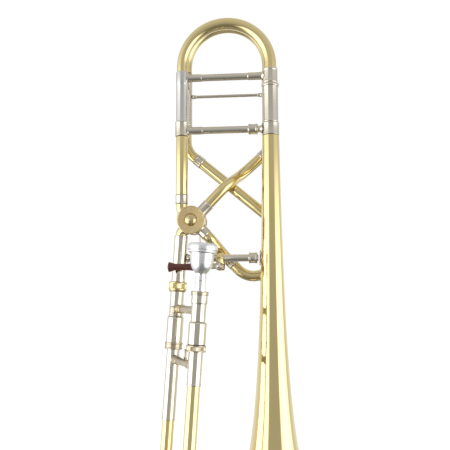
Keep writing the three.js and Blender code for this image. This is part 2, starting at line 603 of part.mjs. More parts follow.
// ---------------------------------------------------------------- mouthpiece
function makeMouthpiece() {
  const outside = [
    [12.6, 1.4], [13.8, 0.3], [15.6, 0], [17.4, 0.8], [18.5, 2.5], [18.7, 4.2], [18.7, 7.8], [17.4, 8.4], [17.2, 8.8],
    [17.2, 11.2], [15, 12], [14.6, 16], [14.1, 22], [13.3, 26.5], [11.7, 30.4], [9.3, 34], [6.9, 36.6], [6.4, 39],
    [6.7, 41.6], [6.7, 45.4], [6.2, 46], [6.5, 50], [6.7, 57], [6.1, 86],
  ];
  const inside = [[12.2, 3.6], [11.9, 9], [10.6, 17], [7.6, 23.6], [4.2, 28], [3.5, 32], [3.7, 38], [5.1, 86]];
  add('mouthpiece', onSlide(nearSide, [...outside, ...[...inside].reverse(), outside[0]], -40.8, 18), finish.silver);
}

// ---------------------------------------------------------------- hand slide, outer part
function makeOuterSlide() {
  const { outerTop, outerEnd, sleeveRadius, outerRadius } = slide;
  const bore = 7.6;
  for (const [name, side, sleeveEnd] of [['far', farSide, 185.6], ['near', nearSide, 129.8]]) {
    const sleeve = sleeveEnd - outerTop;
    add(`outer_slide_tube_${name}`, onSlide(side, hollow(
      [[sleeveRadius, 0], [sleeveRadius, sleeve], [outerRadius, sleeve + 0.4], [outerRadius, outerEnd - outerTop]],
      [[bore, 0], [bore, outerEnd - outerTop]],
    ), outerTop), finish.brass);
  }

  const gripTop = farSide(107).addScaledVector(slideAcross, sleeveRadius + 0.35);
  const length = slide.spacing - 2 * (sleeveRadius + 0.35);
  add('outer_grip_brace', turned([
    [0, 0], [6.2, 0], [6.2, 1.4], [5.2, 3.6], [5.6, 4], [5.6, 15], [5, 15.6], [4.6, 30], [5, length - 16],
    [5.6, length - 15.4], [5.6, length - 4], [6.2, length - 1.4], [6.2, length], [0, length],
  ], gripTop, slideAcross), finish.nickel);

  const half = slide.spacing / 2;
  const low = slide.crookCentre + half + 0.01;
  const path = new PipePath([farSide(outerEnd + GAP), farSide(low), nearSide(low), nearSide(outerEnd + GAP)],
    [half - 0.005, half - 0.005]);
  const ferrule = 20;
  const radiusAt = (s) => (s < ferrule || s > path.length - ferrule ? 9 : 8.3);
  const steps = [ferrule - 0.05, ferrule + 0.05, path.length - ferrule - 0.05, path.length - ferrule + 0.05];
  const crook = pipe(path, radiusAt, WALL, steps);
  // The water key's nipple stands on the inside of the crook and opens into its bore.
  const keyAngle = THREE.MathUtils.degToRad(58);
  const bendCentre = farSide(slide.crookCentre).addScaledVector(slideAcross, half);
  const out = slideAcross.clone().multiplyScalar(Math.cos(keyAngle)).addScaledVector(slideDown, Math.sin(keyAngle));
  const nipple = rod(3.4, bendCentre.clone().addScaledVector(out, half + 6.6), bendCentre.clone().addScaledVector(out, half + 11));
  const hole = rod(1.9, bendCentre.clone().addScaledVector(out, half), bendCentre.clone().addScaledVector(out, half + 14), 10);
  add('slide_crook', cut(join(crook, nipple), hole), finish.brass);

  // The water key: a saddle post on the crook, and the sprung arm that carries the cork.
  const cross = slideAcross.clone().cross(slideDown).normalize();
  const arc = (degrees, distance) => {
    const angle = THREE.MathUtils.degToRad(degrees);
    return bendCentre.clone()
      .addScaledVector(slideAcross, Math.cos(angle) * distance)
      .addScaledVector(slideDown, Math.sin(angle) * distance);
  };
  const armOut = half + 14.2;
  const pad = rod(4.6, arc(58, half + 11.4), arc(58, half + 15.6), 14);
  const pivot = arc(26, armOut + 0.6);
  const barrel = rod(2.6, pivot.clone().addScaledVector(cross, -4), pivot.clone().addScaledVector(cross, 4), 12);
  const arms = [[58, 42], [42, 26], [26, 12], [12, 2]].map(([a, b]) => rod(1.5, arc(a, armOut), arc(b, armOut), 8));
  const thumb = rod(3.4, arc(2, armOut - 1), arc(2, armOut + 1.6), 12);
  add('water_key', join(pad, barrel, ...arms, thumb), finish.nickel);
  const posts = [-1, 1].map((sign) => {
    const top = pivot.clone().addScaledVector(cross, sign * 6);
    const post = rod(1.5, arc(26, half + 7).addScaledVector(cross, sign * 6), top, 8);
    return join(post, rod(2.9, top.clone().addScaledVector(cross, -1.4), top.clone().addScaledVector(cross, 1.4), 10));
  });
  const saddle = common(
    pipe(path, 9.6, 1.1),
    rod(8, arc(26, half), arc(26, half + 14), 14),
  );
  add('water_key_saddle', join(saddle, ...posts), finish.brass);

  const bumperTop = arc(90, half + 8.3 + GAP + 0.4);
  add('slide_bumper', turned([
    [0, 0], [4.2, 0], [4.2, 3], [6.4, 4.4], [6.4, 12], [5.6, 13.4], [0, 13.4],
  ], bumperTop, slideDown, 20), finish.rubber);
}

makeBell();
makeMainTuningSlide();
makeNeckpipe();
makeValve();
makeGooseneck();
makeFAttachment();
makeBellBraces();
makeTrigger();
makeSlideSection();
makeMouthpiece();
makeOuterSlide();

export default object;
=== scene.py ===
# Visual model of a tenor trombone with an F attachment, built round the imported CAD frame.
# Lengths are in millimetres and turned into metres when a mesh is made. The bell's axis is Z,
# with its mouth at Z 0 and its stem going up. The camera looks along Y.
import json
from collections import namedtuple
from math import asin, ceil, cos, pi, radians, sin, sqrt, tan

import bmesh
import bpy
from mathutils import Matrix, Vector


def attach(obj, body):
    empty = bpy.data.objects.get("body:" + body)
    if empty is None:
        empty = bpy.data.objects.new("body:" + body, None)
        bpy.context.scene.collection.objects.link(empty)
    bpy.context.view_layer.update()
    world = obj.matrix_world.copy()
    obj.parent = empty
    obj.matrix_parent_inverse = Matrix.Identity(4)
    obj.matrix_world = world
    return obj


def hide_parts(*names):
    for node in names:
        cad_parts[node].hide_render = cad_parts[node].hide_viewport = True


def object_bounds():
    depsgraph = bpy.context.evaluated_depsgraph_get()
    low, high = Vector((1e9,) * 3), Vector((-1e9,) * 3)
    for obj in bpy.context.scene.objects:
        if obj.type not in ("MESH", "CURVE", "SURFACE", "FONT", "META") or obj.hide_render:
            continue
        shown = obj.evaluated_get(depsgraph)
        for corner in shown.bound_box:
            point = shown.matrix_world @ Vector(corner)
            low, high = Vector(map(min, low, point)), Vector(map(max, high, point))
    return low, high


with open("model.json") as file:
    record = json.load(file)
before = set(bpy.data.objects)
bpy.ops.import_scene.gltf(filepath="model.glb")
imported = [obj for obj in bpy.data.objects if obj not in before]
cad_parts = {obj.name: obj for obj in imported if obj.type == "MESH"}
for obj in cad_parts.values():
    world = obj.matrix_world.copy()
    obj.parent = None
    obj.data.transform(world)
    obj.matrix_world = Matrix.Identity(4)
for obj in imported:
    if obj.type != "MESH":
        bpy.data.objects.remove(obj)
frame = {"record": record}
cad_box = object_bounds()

MM = 0.001
GAP = 0.3                             # what pieces in line keep between them
SLIDE_TRAVEL = 0.6                    # metres, the hand slide closed to fully out
BODY = {n: body for body, ns in frame["record"]["behaviour"]["bodies"].items() for n in ns}
SLOT = {s["node"]: s["material_slot"] for s in frame["record"]["subparts"]}


def V(x, y, z):
    return Vector((x, y, z))


UP = V(0, 0, 1)
BACK = V(0, 1, 0)
RIGHT = V(1, 0, 0)


# --- camera
PLACE = V(0.0170, -0.8275, 0.3240)    # metres
PITCH, YAW, ROLL = radians(5.8), radians(5.5), radians(0.2)
AHEAD = BACK * cos(YAW) - RIGHT * sin(YAW)
ASIDE = RIGHT * cos(YAW) + BACK * sin(YAW)


def add_object(name, data):
    obj = bpy.data.objects.new(name, data)
    bpy.context.scene.collection.objects.link(obj)
    return obj


def make_camera():
    forward = AHEAD * cos(PITCH) + UP * sin(PITCH)
    above = ASIDE.cross(forward)
    right = cos(ROLL) * ASIDE - sin(ROLL) * above
    top = cos(ROLL) * above + sin(ROLL) * ASIDE
    data = bpy.data.cameras.new("camera")
    data.sensor_width = 36
    data.lens = 49.6
    data.clip_end = 100
    camera = add_object("camera", data)
    turn = Matrix((right, top, -forward)).transposed().to_4x4()
    camera.matrix_world = Matrix.Translation(PLACE) @ turn
    bpy.context.scene.camera = camera


# --- node materials
class Nodes:
    """Short names for building a node tree."""

    def __init__(self, tree):
        self.tree = tree
        self.tree.nodes.clear()

    def put(self, node, key, value):
        """Links a socket into an input, or sets the input to a plain value."""
        if isinstance(value, bpy.types.NodeSocket):
            self.tree.links.new(value, node.inputs[key])
        else:
            node.inputs[key].default_value = value

    def add(self, kind, inputs=None, **settings):
        node = self.tree.nodes.new("ShaderNode" + kind)
        for key, value in settings.items():
            setattr(node, key, value)
        for key, value in (inputs or {}).items():
            self.put(node, key, value)
        return node

    def math(self, operation, a, b=0.0):
        return self.add("Math", {0: a, 1: b}, operation=operation).outputs[0]

    def vector(self, operation, a, b=(0, 0, 0), output=0):
        return self.add("VectorMath", {0: a, 1: b}, operation=operation).outputs[output]

    def noise(self, vector, scale, detail=3.0, roughness=0.5):
        inputs = {"Vector": vector, "Scale": scale, "Detail": detail, "Roughness": roughness}
        return self.add("TexNoise", inputs).outputs["Fac"]

    def stretched(self, factors):
        """Object coordinates in metres, scaled along each axis."""
        where = self.add("TexCoord").outputs["Object"]
        return self.add("Mapping", {"Vector": where, "Scale": factors}).outputs["Vector"]

    def span(self, value, low, high, new_low=0.0, new_high=1.0):
        inputs = {0: value, 1: low, 2: high, 3: new_low, 4: new_high}
        return self.add("MapRange", inputs).outputs[0]

    def blend(self, factor, a, b):
        """A mix of two colours, each a socket or (red, green, blue)."""
        node = self.add("Mix", data_type="RGBA")
        for key, value in ((0, factor), (6, a), (7, b)):
            self.put(node, key, (*value, 1) if isinstance(value, (tuple, list)) else value)
        return node.outputs[2]

    def ramp(self, value, whole, stops):
        """A ramp through (degrees, grey) stops. The value goes from 0 to 1 over the whole of them."""
        node = self.add("ValToRGB", {0: value})
        elements = node.color_ramp.elements
        while len(elements) < len(stops):
            elements.new(0.5)
        for element, (degrees, grey) in zip(elements, stops):
            element.position = 0.5 + degrees / whole
            element.color = (grey, grey, grey, 1)
        return node.outputs[0]

    def surface(self, tone, gloss, settings=None, relief=None):
        """Ends the tree in a surface. The relief is (height, strength, distance in metres)."""
        inputs = {"Base Color": tone, "Roughness": gloss, **(settings or {})}
        shader = self.add("BsdfPrincipled", inputs)
        if relief:
            height, strength, distance = relief
            inputs = {"Strength": strength, "Distance": distance, "Height": height}
            self.put(shader, "Normal", self.add("Bump", inputs).outputs[0])
        self.add("OutputMaterial", {0: shader.outputs[0]})


def new_material(name):
    material = bpy.data.materials.new(name)
    material.use_nodes = True
    return material, Nodes(material.node_tree)


def polished_metal(name, color, tarnish, rough, coat=0.0, marks=0.0015):
    """Buffed metal: a slow change of tone, handling marks in the gloss, and fine polishing lines."""
    material, n = new_material(name)
    plain = n.stretched((1, 1, 1))
    cloud = n.noise(plain, 14, 4)
    tone = n.blend(n.span(cloud, 0.42, 0.72, 0.0, 0.55), color, tarnish)
    speck = n.span(n.noise(plain, 700, 2), 0.66, 0.74, 0.0, 0.08)
    tone = n.blend(speck, tone, [c * 0.62 for c in tarnish])
    lines = n.noise(n.stretched((240, 240, 420)), 1.0, 4, 0.6)
    smear = n.span(n.noise(plain, 55, 3), 0.3, 0.7, rough * 0.75, rough * 1.35)
    gloss = n.math("ADD", smear, n.span(lines, 0.3, 0.7, 0.0, 0.012))
    settings = {"Metallic": 1.0, "Coat Weight": coat, "Coat Roughness": 0.04}
    n.surface(tone, gloss, settings, (lines, marks, 0.0004))
    return material


def spun_brass(name, centre):
    """Satin brass turned on a lathe: rings of fine tool marks round the valve's axis."""
    material, n = new_material(name)
    where = n.add("TexCoord").outputs["Object"]
    local = n.vector("SUBTRACT", where, tuple(centre * MM))
    radius = n.vector("LENGTH", n.vector("MULTIPLY", local, (1, 0, 1)), output="Value")
    rings = n.add("CombineXYZ", {0: n.math("MULTIPLY", radius, 5200.0)}).outputs[0]
    marks = n.noise(rings, 1.0, 3, 0.7)
    wear = n.noise(local, 130, 4)
    tone = n.blend(n.span(wear, 0.35, 0.7), (0.80, 0.63, 0.33), (0.67, 0.51, 0.245))
    tone = n.blend(n.span(marks, 0.4, 0.62, 0.0, 0.5), tone, (0.88, 0.72, 0.41))
    n.surface(tone, n.span(marks, 0.3, 0.7, 0.30, 0.44), {"Metallic": 1.0}, (marks, 0.16, 0.0003))
    return material


def oiled_wood(name):
    """Dark red-brown hardwood with its grain along X."""
    material, n = new_material(name)
    grain = n.noise(n.stretched((70, 900, 900)), 1.0, 6, 0.62)
    pores = n.noise(n.stretched((220, 3600, 3600)), 1.0, 2, 0.5)
    tone = n.blend(n.span(grain, 0.32, 0.68), (0.030, 0.005, 0.003), (0.125, 0.019, 0.010))
    dark = n.span(pores, 0.58, 0.68, 0.0, 0.75)
    tone = n.blend(dark, tone, (0.018, 0.005, 0.003))
    gloss = n.span(grain, 0.3, 0.7, 0.22, 0.36)
    height = n.math("SUBTRACT", grain, dark)
    n.surface(tone, gloss, {"Coat Weight": 0.3, "Coat Roughness": 0.10}, (height, 0.25, 0.0003))
    return material


def matt_rubber(name):
    material, n = new_material(name)
    plain = n.stretched((1, 1, 1))
    dust = n.noise(plain, 160, 5, 0.65)
    tone = n.blend(n.span(dust, 0.4, 0.7), (0.018, 0.018, 0.019), (0.055, 0.052, 0.050))
    n.surface(tone, n.span(dust, 0.3, 0.7, 0.62, 0.85), relief=(n.noise(plain, 2600, 2), 0.3, 0.0003))
    return material


def studio_floor(name):
    """Pale paper that glows a little, so that it fades into the backdrop."""
    material, n = new_material(name)
    tone = n.blend(n.noise(n.stretched((1, 1, 1)), 3, 4), (0.90, 0.90, 0.90), (0.93, 0.93, 0.93))
    glow = {"Emission Color": (1, 1, 1, 1), "Emission Strength": 0.4}
    n.surface(tone, 0.9, {"Specular IOR Level": 0.1, **glow})
    return material


VALVE = V(-106.6, 0, 414.1)           # the middle of the rotary valve, whose axis is Y
MATERIAL = {
    "brass": polished_metal("lacquered_brass", (0.74, 0.608, 0.29), (0.69, 0.556, 0.245), 0.075, 0.9),
    "nickel_silver": polished_metal("nickel_silver", (0.655, 0.61, 0.52), (0.6, 0.55, 0.455), 0.095),
    "bright_nickel": polished_metal("bright_nickel", (0.65, 0.64, 0.62), (0.59, 0.58, 0.55), 0.08),
    "chrome_plate": polished_metal("chrome_plate", (0.66, 0.67, 0.68), (0.62, 0.63, 0.645), 0.045, 0, 0.003),
    "silver_plate": polished_metal("silver_plate", (0.86, 0.87, 0.885), (0.79, 0.795, 0.8), 0.27, 0, 0.002),
    "satin_brass": polished_metal("satin_brass", (0.66, 0.55, 0.31), (0.56, 0.45, 0.24), 0.24),
    "satin_nickel": polished_metal("satin_nickel", (0.50, 0.44, 0.335), (0.43, 0.365, 0.255), 0.22),
    "brushed_brass": spun_brass("spun_brass", VALVE),
    "dark_wood": oiled_wood("oiled_wood"),
    "bumper_rubber": matt_rubber("matt_rubber"),
}


# --- light and floor
def make_world():
    """White behind, two tall soft boxes at the sides, and a dim room on the camera's side."""
    world = bpy.data.worlds.new("studio")
    world.use_nodes = True
    bpy.context.scene.world = world
    n = Nodes(world.node_tree)
    ray = n.add("TexCoord").outputs["Generated"]
    front = n.vector("DOT_PRODUCT", ray, tuple(-AHEAD), "Value")
    side = n.vector("DOT_PRODUCT", ray, tuple(ASIDE), "Value")
    # A full turn round the object, and the height above the horizon, each as 0 to 1.
    turn = n.span(n.math("ARCTAN2", side, front), -pi, pi)
    height = n.math("ARCSINE", n.add("SeparateXYZ", {0: ray}).outputs[2])
    height = n.span(height, -pi / 2, pi / 2)

    boxes = n.ramp(turn, 360, [
        (-108, 0), (-98, 0.9), (-56, 1), (-53, 0.55), (-50, 1), (-37, 0.9), (-31, 0),
        (30, 0), (38, 0.8), (50, 1), (84, 0.9), (104, 0)])
    left_reach = n.ramp(height, 180, [
        (-50, 0), (-24, 1), (3, 1), (10, 0.72), (16, 0.38), (22, 0.2), (50, 0)])
    right_reach = n.ramp(height, 180, [
        (-50, 0), (-24, 1), (3, 1), (9, 0.55), (14, 0.15), (24, 0.06), (50, 0)])
    is_left = n.math("LESS_THAN", turn, 0.5)
    is_right = n.math("SUBTRACT", 1.0, is_left)
    reach = n.math("ADD", n.math("MULTIPLY", left_reach, is_left), n.math("MULTIPLY", right_reach, is_right))
    soft = n.math("MULTIPLY", n.math("MULTIPLY", boxes, reach), 2.25)

    room = n.ramp(turn, 360, [(-40, 0.53), (40, 0.53)])
    tall = n.ramp(height, 180, [(-75, 0.38), (-35, 0.5), (-8, 0.98), (12, 1), (22, 1), (80, 0.8)])
    wall = n.ramp(turn, 360, [(-125, 0.45), (-95, 0.2), (-40, 0.0), (40, 0), (95, 0.2), (125, 0.45)])
    wall_reach = n.ramp(height, 180, [(-40, 0.3), (-12, 1), (8, 1), (17, 0.35), (50, 0.2)])
    overhead = n.ramp(height, 180, [(8, 0), (20, 0.09), (60, 0.28)])
    level = n.math("ADD", soft, n.math("MULTIPLY", room, tall))
    level = n.math("ADD", level, n.math("ADD", n.math("MULTIPLY", wall, wall_reach), overhead))

    light = n.add("Background", {"Color": (1.0, 0.995, 0.985, 1), "Strength": level})
    backdrop = n.add("Background", {"Color": (1, 1, 1, 1), "Strength": 1.02})
    seen = n.add("LightPath").outputs["Is Camera Ray"]
    mix = n.add("MixShader", {0: seen, 1: light.outputs[0], 2: backdrop.outputs[0]})
    n.add("OutputWorld", {0: mix.outputs[0]})
    bpy.context.scene.view_settings.view_transform = "Standard"


def make_lamp():
    data = bpy.data.lights.new("key", "AREA")
    data.size = 1.6
    data.energy = 12
    lamp = add_object("key", data)
    lamp.location = (-0.9, -1.2, 2.4)
    lamp.visible_glossy = False
    lamp.rotation_euler = (V(0, 0, 0.2) - lamp.location).to_track_quat("-Z", "Y").to_euler()


def make_floor():
    """The part hangs in a stand, so the floor lies just under the slide when it is fully out."""
    reach = 40.0
    floor_z = cad_box[0][2] - SLIDE_TRAVEL - 0.01
    corners = [(x * reach, y * reach, floor_z) for x, y in ((-1, -1), (1, -1), (1, 1), (-1, 1))]
    data = bpy.data.meshes.new("floor")
    data.from_pydata(corners, [], [(0, 1, 2, 3)])
    data.materials.append(studio_floor("studio_floor"))
    floor = add_object("floor", data)
    floor.visible_glossy = False


# --- paths and meshes
class Path:
    """Straight stretches joined by round bends. bends[i] is the radius at inner corner i."""

    def __init__(self, corners, bends=(), step=4):
        """The step is the most degrees that one stretch of a bend turns."""
        self.runs = []
        self.stations = [0.0]
        self.length = 0.0
        start = corners[0]
        for i, radius in enumerate(bends, 1):
            before = (corners[i] - start).normalized()
            after = (corners[i + 1] - corners[i]).normalized()
            angle = before.angle(after)
            reach = radius * tan(angle / 2)
            bend = corners[i] - before * reach
            self._push((bend - start).length, start, before)
            axis = before.cross(after).normalized()
            self._push(angle * radius, bend, before, axis, radius, ceil(angle / radians(step)))
            start = corners[i] + after * reach
        last = corners[-1] - start
        self._push(last.length, start, last.normalized())

    def _push(self, length, point, tangent, axis=None, radius=0.0, steps=1):
        if length < 1e-3:
            return
        self.runs.append((self.length, length, point, tangent, axis, radius))
        self.stations += [self.length + length * i / steps for i in range(1, steps + 1)]
        self.length += length

    def frame(self, s):
        """Point and the two cross directions at a distance along the path."""
        side = self.runs[0][3].cross(BACK)
        if side.length < 0.2:
            side = self.runs[0][3].cross(RIGHT)
        side.normalize()
        for start, length, point, tangent, axis, radius in self.runs:
            last = s <= start + length + 1e-6 or start == self.runs[-1][0]
            distance = s - start if last else length
            if axis is None:
                here, direction = point + tangent * distance, tangent
            else:
                turn = Matrix.Rotation(distance / radius, 3, axis)
                outward = tangent.cross(axis)
                here = point - outward * radius + (turn @ outward) * radius
                direction = turn @ tangent
                side = turn @ side
            if last:
                return here, side, side.cross(direction)


def line(origin, direction):
    return Path([origin, origin + direction.normalized()])


def u_bend(*corners):
    """A path through four corners, whose two bends make a half circle."""
    radius = (corners[2] - corners[1]).length / 2 - 0.005
    return Path(corners, [radius] * 2, 2.5)


def cut_corner(before, corner, after, radius, share, stops):
    """Points of a curve across a corner. It takes at most a share of each side."""
    back, ahead = before - corner, after - corner
    reach = min(radius, back.length * share, ahead.length * share)
    p, q = corner + back.normalized() * reach, corner + ahead.normalized() * reach
    return [tuple(p * (1 - t) ** 2 + corner * 2 * t * (1 - t) + q * t * t) for t in stops]


def softened(profile, radius, closed):
    """The profile with its corners rounded, so that edges catch the light."""
    points = [Vector(point) for point in profile]
    result = []
    for i, corner in enumerate(points):
        before, after = points[i - 1], points[(i + 1) % len(points)]
        at_end = not closed and i in (0, len(points) - 1)
        back, ahead = before - corner, after - corner
        plain = at_end or corner.x == 0 or min(back.length, ahead.length) < 1e-6
        if plain or pi - back.angle(ahead) < radians(12):
            result.append(profile[i])
        else:
            result += cut_corner(before, corner, after, radius, 0.42, (0.0, 0.33, 0.67, 1.0))
    return result


def rounded_outline(points, radii, steps=8):
    """A closed outline with an arc at each corner."""
    corners = [Vector(point) for point in points]
    stops = [j / steps for j in range(steps + 1)]
    result = []
    for i, corner in enumerate(corners):
        after = corners[(i + 1) % len(corners)]
        result += cut_corner(corners[i - 1], corner, after, radii[i], 0.49, stops)
    return result


def flowing(points, steps=6):
    """A smooth curve through the points (Catmull-Rom)."""
    result = []
    for i in range(len(points) - 1):
        a, b, c, d = [Vector(points[max(0, min(len(points) - 1, i + k))]) for k in (-1, 0, 1, 2)]
        for j in range(steps):
            t = j / steps
            square, cube = 2 * a - 5 * b + 4 * c - d, 3 * b - a - 3 * c + d
            result.append(tuple(0.5 * (2 * b + (c - a) * t + square * t * t + cube * t ** 3)))
    return result + [tuple(points[-1])]


def two_ended(start, end, length):
    """A profile through points counted from its start, then points counted back from its end."""
    return start + [(r, length - h) for r, h in end]


def mirrored(half, length):
    return two_ended(half, half[::-1], length)


def band(a, b):
    """Faces between two rings of vertex numbers, either of which may be a single point."""
    count = max(len(a), len(b))
    faces = []
    for k in range(count if count > 1 else 0):
        m = (k + 1) % count
        if len(a) == 1:
            faces.append((a[0], b[m], b[k]))
        elif len(b) == 1:
            faces.append((a[k], a[m], b[0]))
        else:
            faces.append((a[k], a[m], b[m], b[k]))
    return faces


def bands(rings):
    return [face for a, b in zip(rings, rings[1:]) for face in band(a, b)]


def stacked(vertices, count):
    """A solid of rings of count vertices each, one after the other, with flat ends."""
    rings = [tuple(range(i, i + count)) for i in range(0, len(vertices), count)]
    return vertices, bands(rings) + [rings[0][::-1], rings[-1]]


def circle(centre, side, up, radius, sides):
    angles = [2 * pi * k / sides for k in range(sides)]
    return [centre + side * (radius * cos(a)) + up * (radius * sin(a)) for a in angles]


# Saw-tooth grips: how many, how deep, between which distances, and from what radius out.
Flutes = namedtuple("Flutes", "count depth start end above")


def swept(path, profile, sides=48, closed=True, flutes=None):
    """Vertices and faces of a profile of (radius, distance) pairs turned round a path."""
    vertices, rings = [], []
    for radius, s in profile:
        here, side, up = path.frame(s)
        ring = [here] if radius < 1e-6 else circle(here, side, up, radius, sides)
        if flutes and flutes.start <= s <= flutes.end and radius >= flutes.above:
            for k, vertex in enumerate(ring):
                depth = flutes.depth * (k * flutes.count % sides) / sides
                ring[k] = vertex - (vertex - here).normalized() * depth
        rings.append(list(range(len(vertices), len(vertices) + len(ring))))
        vertices += ring
    return vertices, bands(rings + [rings[0]] if closed else rings)


def merged(*parts):
    vertices, faces = [], []
    for part_vertices, part_faces in parts:
        base = len(vertices)
        vertices += part_vertices
        faces += [tuple(i + base for i in face) for face in part_faces]
    return vertices, faces


def face_outward(obj, join=False):
    """Makes every face of the mesh point outward, after joining any vertices that coincide when join is set.
    """
    mesh = bmesh.new()
    mesh.from_mesh(obj.data)
    if join:
        bmesh.ops.remove_doubles(mesh, verts=mesh.verts, dist=2e-6)
    bmesh.ops.recalc_face_normals(mesh, faces=mesh.faces)
    mesh.to_mesh(obj.data)
    mesh.free()


def detail(name, mesh, body, slot, look=None, sharp=32):
    """An object of (vertices, faces). The look is its material, if that isn't the slot's."""
    vertices, faces = mesh
    data = bpy.data.meshes.new(name)
    data.from_pydata([v * MM for v in vertices], [], faces)
    data.validate()
    obj = add_object(name, data)
    face_outward(obj)
    data.shade_smooth()
    data.set_sharp_from_angle(angle=radians(sharp))
    data.materials.append(MATERIAL[look or slot])
    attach(obj, body)
    return obj


def piece(name, mesh, node, look=None, sharp=32):
    """An object that takes the place, body and slot of a CAD node."""
    obj = detail(name, mesh, BODY[node], SLOT[node], look, sharp)
    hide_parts(node)
    return obj


def turned(profile, origin, direction, sides=48, soft=0.3, flutes=None):
    """A turned solid. Its profile is joined to the axis at both ends."""
    (first, start), (last, end) = profile[0], profile[-1]
    points = ([(0, start)] if first else []) + profile + ([(0, end)] if last else [])
    return swept(line(origin, direction), softened(points, soft, False), sides, False, flutes)


def tube(outside, inside, origin, direction, sides=48, soft=0.3, flutes=None):
    """A turned hollow solid. The inside is a radius, or a list of (radius, distance) like the outside."""
    if not isinstance(inside, list):
        inside = [(inside, outside[0][1]), (inside, outside[-1][1])]
    points = softened(outside + inside[::-1], soft, True)
    return swept(line(origin, direction), points, sides, True, flutes)


def sleeve(outer, inner, length, origin, direction, soft=0.35):
    return tube([(outer, 0), (outer, length)], inner, origin, direction, soft=soft)


def ferrule(outer, inner, length, origin, direction, bead=0.35, width=1.7):
    """A sleeve with a rounded bead near each end, as tubing ferrules have."""
    top = outer + bead
    end = [(outer - 0.5, 0), (outer, 0.7), (top, 1.0), (top, width), (outer, width + 0.3)]
    return tube(mirrored(end, length), inner, origin, direction, soft=0.25)


def pipe(path, radius, wall=0.8, sides=40):
    """A hollow tube that follows a path. The radius is a number or a function of the distance."""
    outside = [(radius(s) if callable(radius) else radius, s) for s in path.stations]
    return swept(path, outside + [(r - wall, s) for r, s in outside[::-1]], sides)


def rod(radius, a, b, sides=24, soft=0.3):
    return turned([(radius, 0), (radius, (b - a).length)], a, b - a, sides, soft)


def wire(points, radius, sides=10):
    """A round wire through a list of points, with flat ends."""
    vertices = []
    side = (points[1] - points[0]).orthogonal().normalized()
    for i, p in enumerate(points):
        tangent = (points[min(i + 1, len(points) - 1)] - points[max(i - 1, 0)]).normalized()
        side = (side - tangent * side.dot(tangent)).normalized()
        vertices += circle(p, side, tangent.cross(side), radius, sides)
    return stacked(vertices, sides)


def helix(centre, axis, radius, turns, pitch, gauge, tails):
    """A coil spring, with a straight tail to the point before it and the point after it."""
    side = axis.orthogonal().normalized()
    up = axis.cross(side)
    coil = []
    steps = 20
    for i in range(turns * steps + 1):
        angle = 2 * pi * i / steps
        out = side * (radius * cos(angle)) + up * (radius * sin(angle))
        coil.append(centre + out + axis * (pitch * i / steps))
    return wire([tails[0]] + coil + [tails[1]], gauge)


def slab(outline, thickness, origin, across, upward, bevel=0.5):
    """A plate with a rounded edge: an outline in two directions, and a thickness along their cross."""
    normal = across.cross(upward).normalized()
    centre = sum((Vector(point) for point in outline), Vector((0, 0))) / len(outline)
    vertices = []
    for inset, depth in ((bevel, 0.0), (0.0, bevel), (0.0, thickness - bevel), (bevel, thickness)):
        for point in outline:
            out = Vector(point) - centre
            q = centre + out * max(0.0, 1 - inset / max(out.length, 1e-6))
            vertices.append(origin + across * q.x + upward * q.y + normal * depth)
    return stacked(vertices, len(outline))


def screw(at, direction, radius=2.2, height=1.3):
    """A round screw head with a slot, made of two half domes on a base."""
    side = direction.orthogonal().normalized()
    up = direction.cross(side)
    slot = radius * 0.17
    edge = asin(slot / radius)
    rows, columns = 6, 18
    levels = [(radius, 0)]
    for row in range(rows + 1):
        lean = row / rows * pi / 2 * 0.82
        levels.append((radius * cos(lean), height * (0.35 + 0.65 * sin(lean))))
    halves = []
    for sign in (-1, 1):
        vertices = []
        for r, h in levels:
            for k in range(columns + 1):
                angle = edge + (pi - 2 * edge) * k / columns
                y = sign * max(slot, r * sin(angle))
                vertices.append(at + side * (r * cos(angle)) + up * y + direction * h)
        halves.append(stacked(vertices, columns + 1))
    return merged(*halves, rod(radius * 0.98, at, at + direction * (height * 0.42), 28, 0.15))


SEAT_DEPTH = 3.4


def brace(profile, origin, direction, seats=()):
    """A turned brace, whose end is bent round the tube at each seat of (tube centre, tube radius)."""
    vertices, faces = turned(profile, origin, direction, 56, 0.6)
    length = profile[-1][1]
    across = direction.cross(UP).normalized()
    for centre, radius in seats:
        at_start = (centre - origin).dot(direction) < 0
        for i, vertex in enumerate(vertices):
            along = (vertex - origin).dot(direction)
            inset = along if at_start else length - along
            if inset > SEAT_DEPTH:
                continue
            aside = (vertex - centre).dot(across)
            sink = radius - sqrt(max(radius * radius - aside * aside, 0.0))
            sink *= 1 - max(inset, 0.0) / SEAT_DEPTH
            vertices[i] = vertex + direction * (-sink if at_start else sink)
    return vertices, faces


# --- the slide's frame
DOWN = V(-0.0625, -0.0319, -1).normalized()
SLIDE_TURN = radians(61.9)            # the slide's plane, out of the bell's
ACROSS = V(cos(SLIDE_TURN), -sin(SLIDE_TURN), 0)
ACROSS = (ACROSS - DOWN * ACROSS.dot(DOWN)).normalized()
THROUGH = ACROSS.cross(DOWN).normalized()
SPACING = 86.8
SLIDE_TOP = V(-125.91, 0, 337.6)      # on the far tube's axis, at distance 0


def far(distance):
    return SLIDE_TOP + DOWN * distance


def near(distance):
    return far(distance) + ACROSS * SPACING


def on_slide(side, outside, inside, top, sides=56, flutes=None):
    """A hollow piece round the far or near tube of the slide, from a distance down."""
    return tube(outside, inside, side(top), DOWN, sides, 0.35, flutes)


# --- bell
BELL_TAIL = 528.9


def bell_radius(z):
    core, flare, reach, power = 3, 105, 40, 0.94
    return core + flare * (reach / (z + reach)) ** power


